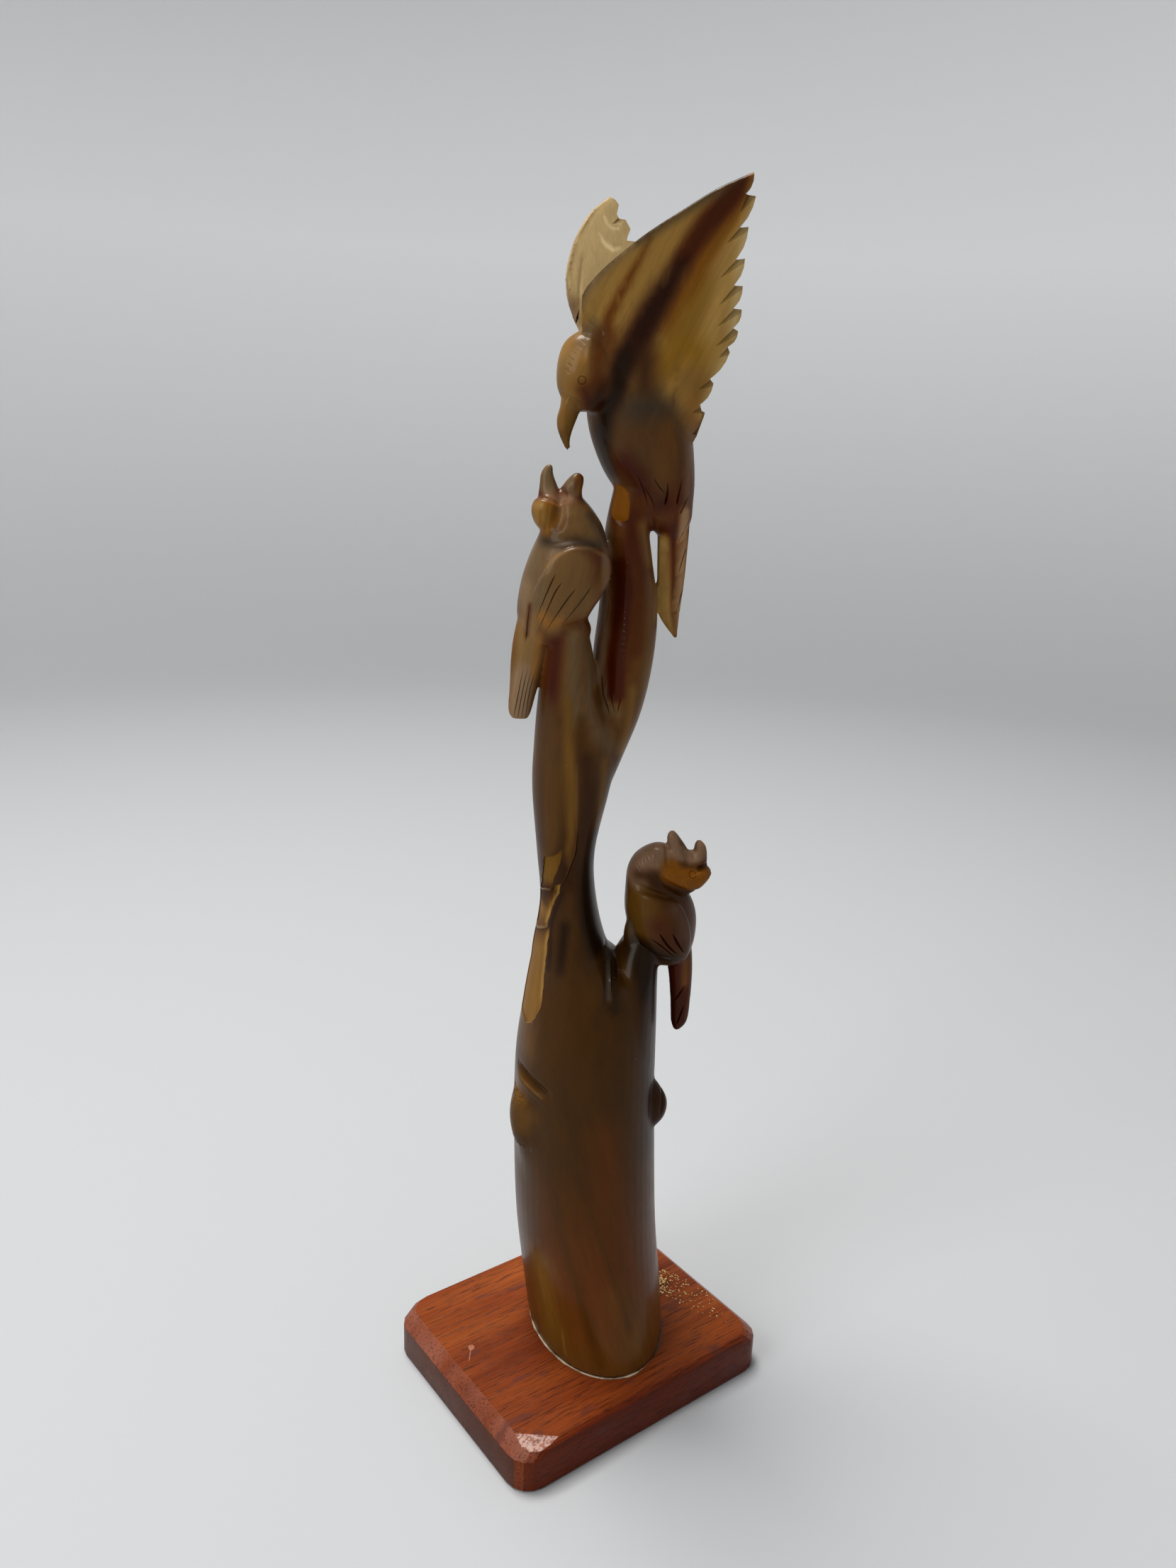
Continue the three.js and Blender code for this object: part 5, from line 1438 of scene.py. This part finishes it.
def makePlinth():
    block = ownCopy(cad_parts["plinth"])
    for key in list(block.keys()):
        del block[key]
    block.parent = None
    block.name = "plinthBlock"
    selectOnly(block)
    bpy.ops.object.mode_set(mode="EDIT")
    bpy.ops.mesh.select_all(action="SELECT")
    bpy.ops.mesh.remove_doubles(threshold=1e-6)
    bpy.ops.mesh.dissolve_limited(angle_limit=math.radians(1))
    bpy.ops.object.mode_set(mode="OBJECT")
    soften = block.modifiers.new("Soft edges", "BEVEL")
    soften.width = plinthEdges["width"] * mm
    soften.segments = plinthEdges["segments"]
    soften.limit_method = "ANGLE"
    soften.angle_limit = math.radians(plinthEdges["bevelFrom"])
    applyModifiers(block)
    bpy.ops.object.shade_smooth_by_angle(angle=math.radians(plinthEdges["smoothBelow"]))
    giveFinish(block, woodFinish())
    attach(block, "root")
    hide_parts("plinth")


makePlinth()
print("plinth made")


# What lies on the plinth: dried glue round the foot, sawdust and a drip

litterLook = {
    # each bead: from one angle round the foot to another, its thickness and two tones
    "beads": {
        "driedGlue": (186, 312, 0.4, linear(176, 158, 130), linear(104, 84, 64)),
        "glueSmear": (306, 400, 0.6, linear(84, 62, 48), linear(50, 32, 24)),
    },
    "sawdustCount": 190,
    "sawdustFrom": (24, 15),  # from the foot's right side towards the corner
    "sawdustRun": (22, -13),
    "sawdustSize": (0.12, 0.28),
    "sawdustEdge": (0.045, 0.038),  # from the plinth's middle, metres
    "sawdustTones": (linear(226, 198, 132), linear(150, 112, 60)),
    "dripTones": (linear(150, 86, 54), linear(134, 72, 42)),
    "dripDrops": [((-40.9, -21.2), (1.1, 1.25, 0.12)), ((-41, -24.6), (0.2, 3.2, 0.06))],
}


def plainFinish(name, tone, darker, roughness, scale=900):
    # a matt finish that varies between two tones
    material, tree, shader, place = freshMaterial(name)
    cloud = noiseIn(tree, place, scale, 3)
    feed(shader, {
        "Base Color": ramp(tree, cloud, [(0.35, darker), (0.6, tone)]),
        "Normal": bumpFrom(tree, cloud, 0.4, 0.0002),
        "Roughness": roughness,
    })
    return material


def glueBead(name, start, stop, thickness, tone, darker):
    # a ragged bead along the foot between two angles, thinned out at both ends
    rings = []
    count, sides, above, down, outside = 70, 8, 0.9, 0.85, 80
    for k in range(count + 1):
        share = k / count
        angle = math.radians(start + (stop - start) * share)
        away = Vector((math.cos(angle), math.sin(angle), 0))
        place = surface.tree.ray_cast(away * outside + Vector((0, 0, bench["top"] + above)), -away)[0]
        rough = 1 + 0.6 * noise.noise(away * 7 + Vector((0, 0, 3.1))) + 0.25 * noise.noise(away * 19)
        size = max(0.06, thickness * min(1, 6 * share, 6 * (1 - share)) * rough)
        centre = place + away * (0.2 * size) - Vector((0, 0, down))
        rings.append([centre + away * (size * math.cos(t)) + Vector((0, 0, 0.5 * size * math.sin(t)))
                      for t in [2 * math.pi * j / sides for j in range(sides)]])
    bead = shellFrom(name, [rings], plainFinish(name, tone, darker, 0.7, 260))
    bead.data.shade_smooth()
    ontoPlinth(bead)


def makeSawdust():
    # crumbs lie thickest against the foot and thin out towards the corner
    rng = random.Random(7)
    crumbs = []
    (fromX, fromY), (runX, runY) = litterLook["sawdustFrom"], litterLook["sawdustRun"]
    edgeX, edgeY = litterLook["sawdustEdge"]
    while len(crumbs) < litterLook["sawdustCount"]:
        reach = rng.random() ** 1.9
        x = fromX + runX * reach + rng.uniform(-1, 1)
        y = fromY + runY * reach + rng.uniform(-1, 1) * (6 + 4 * reach)
        size = rng.uniform(*litterLook["sawdustSize"]) * (1.3 if reach < 0.12 else 1)
        onPlinth = toPlinth @ Vector((x, y, bench["top"]))
        covered = surface.tree.ray_cast(Vector((x, y, bench["top"] + 45)), Vector((0, 0, -1)), 45)[0]
        if covered or onPlinth.x > edgeX or abs(onPlinth.y) > edgeY:
            continue
        bpy.ops.mesh.primitive_ico_sphere_add(subdivisions=1, radius=1, location=(0, 0, 0))
        crumb = bpy.context.object
        turn = Matrix.Rotation(rng.uniform(0, 6.28), 4, "Z") @ Matrix.Rotation(rng.uniform(-0.5, 0.5), 4, "X")
        shape = Matrix.Diagonal((size * rng.uniform(0.8, 2), size, size * 0.6, 1))
        crumb.data.transform(Matrix.Translation((x, y, bench["top"] + size * 0.4)) @ turn @ shape)
        crumbs.append(crumb)
    dust = joinPieces(crumbs, "sawdust")
    giveFinish(dust, plainFinish("sawdust", *litterLook["sawdustTones"], 0.8, 2500))
    ontoPlinth(dust)


def makeDrip():
    # a pale drop with a short run towards the front
    drops = []
    for at, size in litterLook["dripDrops"]:
        bpy.ops.mesh.primitive_uv_sphere_add(segments=24, ring_count=12, radius=1, location=(0, 0, 0))
        drop = bpy.context.object
        drop.data.transform(Matrix.Translation((*at, bench["top"])) @ Matrix.Diagonal((*size, 1)))
        drops.append(drop)
    drip = joinPieces(drops, "paleDrip")
    giveFinish(drip, plainFinish("pale drip", *litterLook["dripTones"], 0.45))
    drip.data.shade_smooth()
    ontoPlinth(drip)


for name, bead in litterLook["beads"].items():
    glueBead(name, *bead)
makeSawdust()
makeDrip()
print("glue, sawdust and drip laid")


# Floor, light and camera

studio = {
    "floorReach": 1.3,
    "bowlRadius": 0.9,
    "bowlSteps": 12,
    "wallHeight": 2.4,
    "shadeHeight": 0.7,  # where the floor's grey has become the wall's
    "floorGrey": 0.42,
    "wallGrey": 0.85,
    "worldColour": (0.92, 0.96, 1),
    "worldStrength": 0.25,
    # place, target, size, power and colour
    "lights": {
        "overhead": ((-0.1, 0.35, 1.7), (0, 0, 0.15), (0.6, 0.6), 34, (1, 1, 1)),
        "left": ((-1.2, -0.1, 0.9), (0, 0, 0.22), (0.6, 1), 9, (0.92, 0.96, 1)),
    },
}


def makeFloor():
    # a pale floor that sweeps up into a wall all round
    reach, radius, steps = studio["floorReach"], studio["bowlRadius"], studio["bowlSteps"]
    profile = [(0, 0), (reach, 0)]
    for k in range(1, steps + 1):
        angle = math.pi / 2 * k / steps
        profile.append((reach + radius * math.sin(angle), radius * (1 - math.cos(angle))))
    profile.append((reach + radius, studio["wallHeight"]))
    floor = emptyMesh("floor")
    bm = bmesh.new()
    verts = [bm.verts.new((r, 0, z)) for r, z in profile]
    edges = [bm.edges.new(pair) for pair in zip(verts, verts[1:])]
    bmesh.ops.spin(bm, geom=verts + edges, cent=(0, 0, 0), axis=(0, 0, 1), angle=2 * math.pi, steps=96,
                   use_merge=True)
    bmesh.ops.remove_doubles(bm, verts=bm.verts, dist=1e-5)
    bmesh.ops.recalc_face_normals(bm, faces=bm.faces)
    bmesh.ops.reverse_faces(bm, faces=bm.faces)
    bm.to_mesh(floor.data)
    bm.free()
    floor.data.shade_smooth()
    material, tree, shader, place = freshMaterial("pale floor")
    height = nodeIn(tree, "ShaderNodeSeparateXYZ", {0: place}).outputs["Z"]
    rising = nodeIn(tree, "ShaderNodeMapRange", {"Value": height, "From Max": studio["shadeHeight"]})
    tone = ramp(tree, rising.outputs[0], [(0, studio["floorGrey"]), (1, studio["wallGrey"])])
    feed(shader, {"Base Color": tone, "Roughness": 0.9})
    floor.data.materials.append(material)


def areaLight(name, place, target, size, power, colour):
    data = bpy.data.lights.new(name, "AREA")
    data.shape = "RECTANGLE"
    data.size, data.size_y = size
    data.energy = power
    data.color = colour
    lamp = bpy.data.objects.new(name, data)
    lamp.location = place
    lamp.rotation_euler = (Vector(target) - Vector(place)).to_track_quat("-Z", "Y").to_euler()
    bpy.context.scene.collection.objects.link(lamp)


photoView = {
    "eye": (-8.34, -349.5, 300),  # in the carving's own axes, millimetres
    "pitch": 15.17,
    "roll": 1.93,
    "lens": 26.935,
    "sensor": 36,
}


def makeCamera():
    data = bpy.data.cameras.new("camera")
    data.lens = photoView["lens"]
    data.sensor_width = photoView["sensor"]
    data.clip_start = 0.01
    camera = bpy.data.objects.new("camera", data)
    turn = Matrix.Rotation(math.radians(bench["turn"]), 4, "Z")
    place = toPlinth @ Vector(photoView["eye"])
    tilt = Matrix.Rotation(math.radians(90 - photoView["pitch"]), 4, "X")
    roll = Matrix.Rotation(math.radians(photoView["roll"]), 4, "Z")
    camera.matrix_world = Matrix.Translation(place) @ turn @ tilt @ roll
    bpy.context.scene.collection.objects.link(camera)
    bpy.context.scene.camera = camera


def makeWorld():
    world = bpy.data.worlds.new("world")
    world.use_nodes = True
    feed(world.node_tree.nodes["Background"], {0: studio["worldColour"], 1: studio["worldStrength"]})
    bpy.context.scene.world = world


makeFloor()
makeCamera()
makeWorld()
for name, light in studio["lights"].items():
    areaLight(name, *light)
bpy.context.scene.view_settings.view_transform = "Standard"
print("floor, camera and lights set")
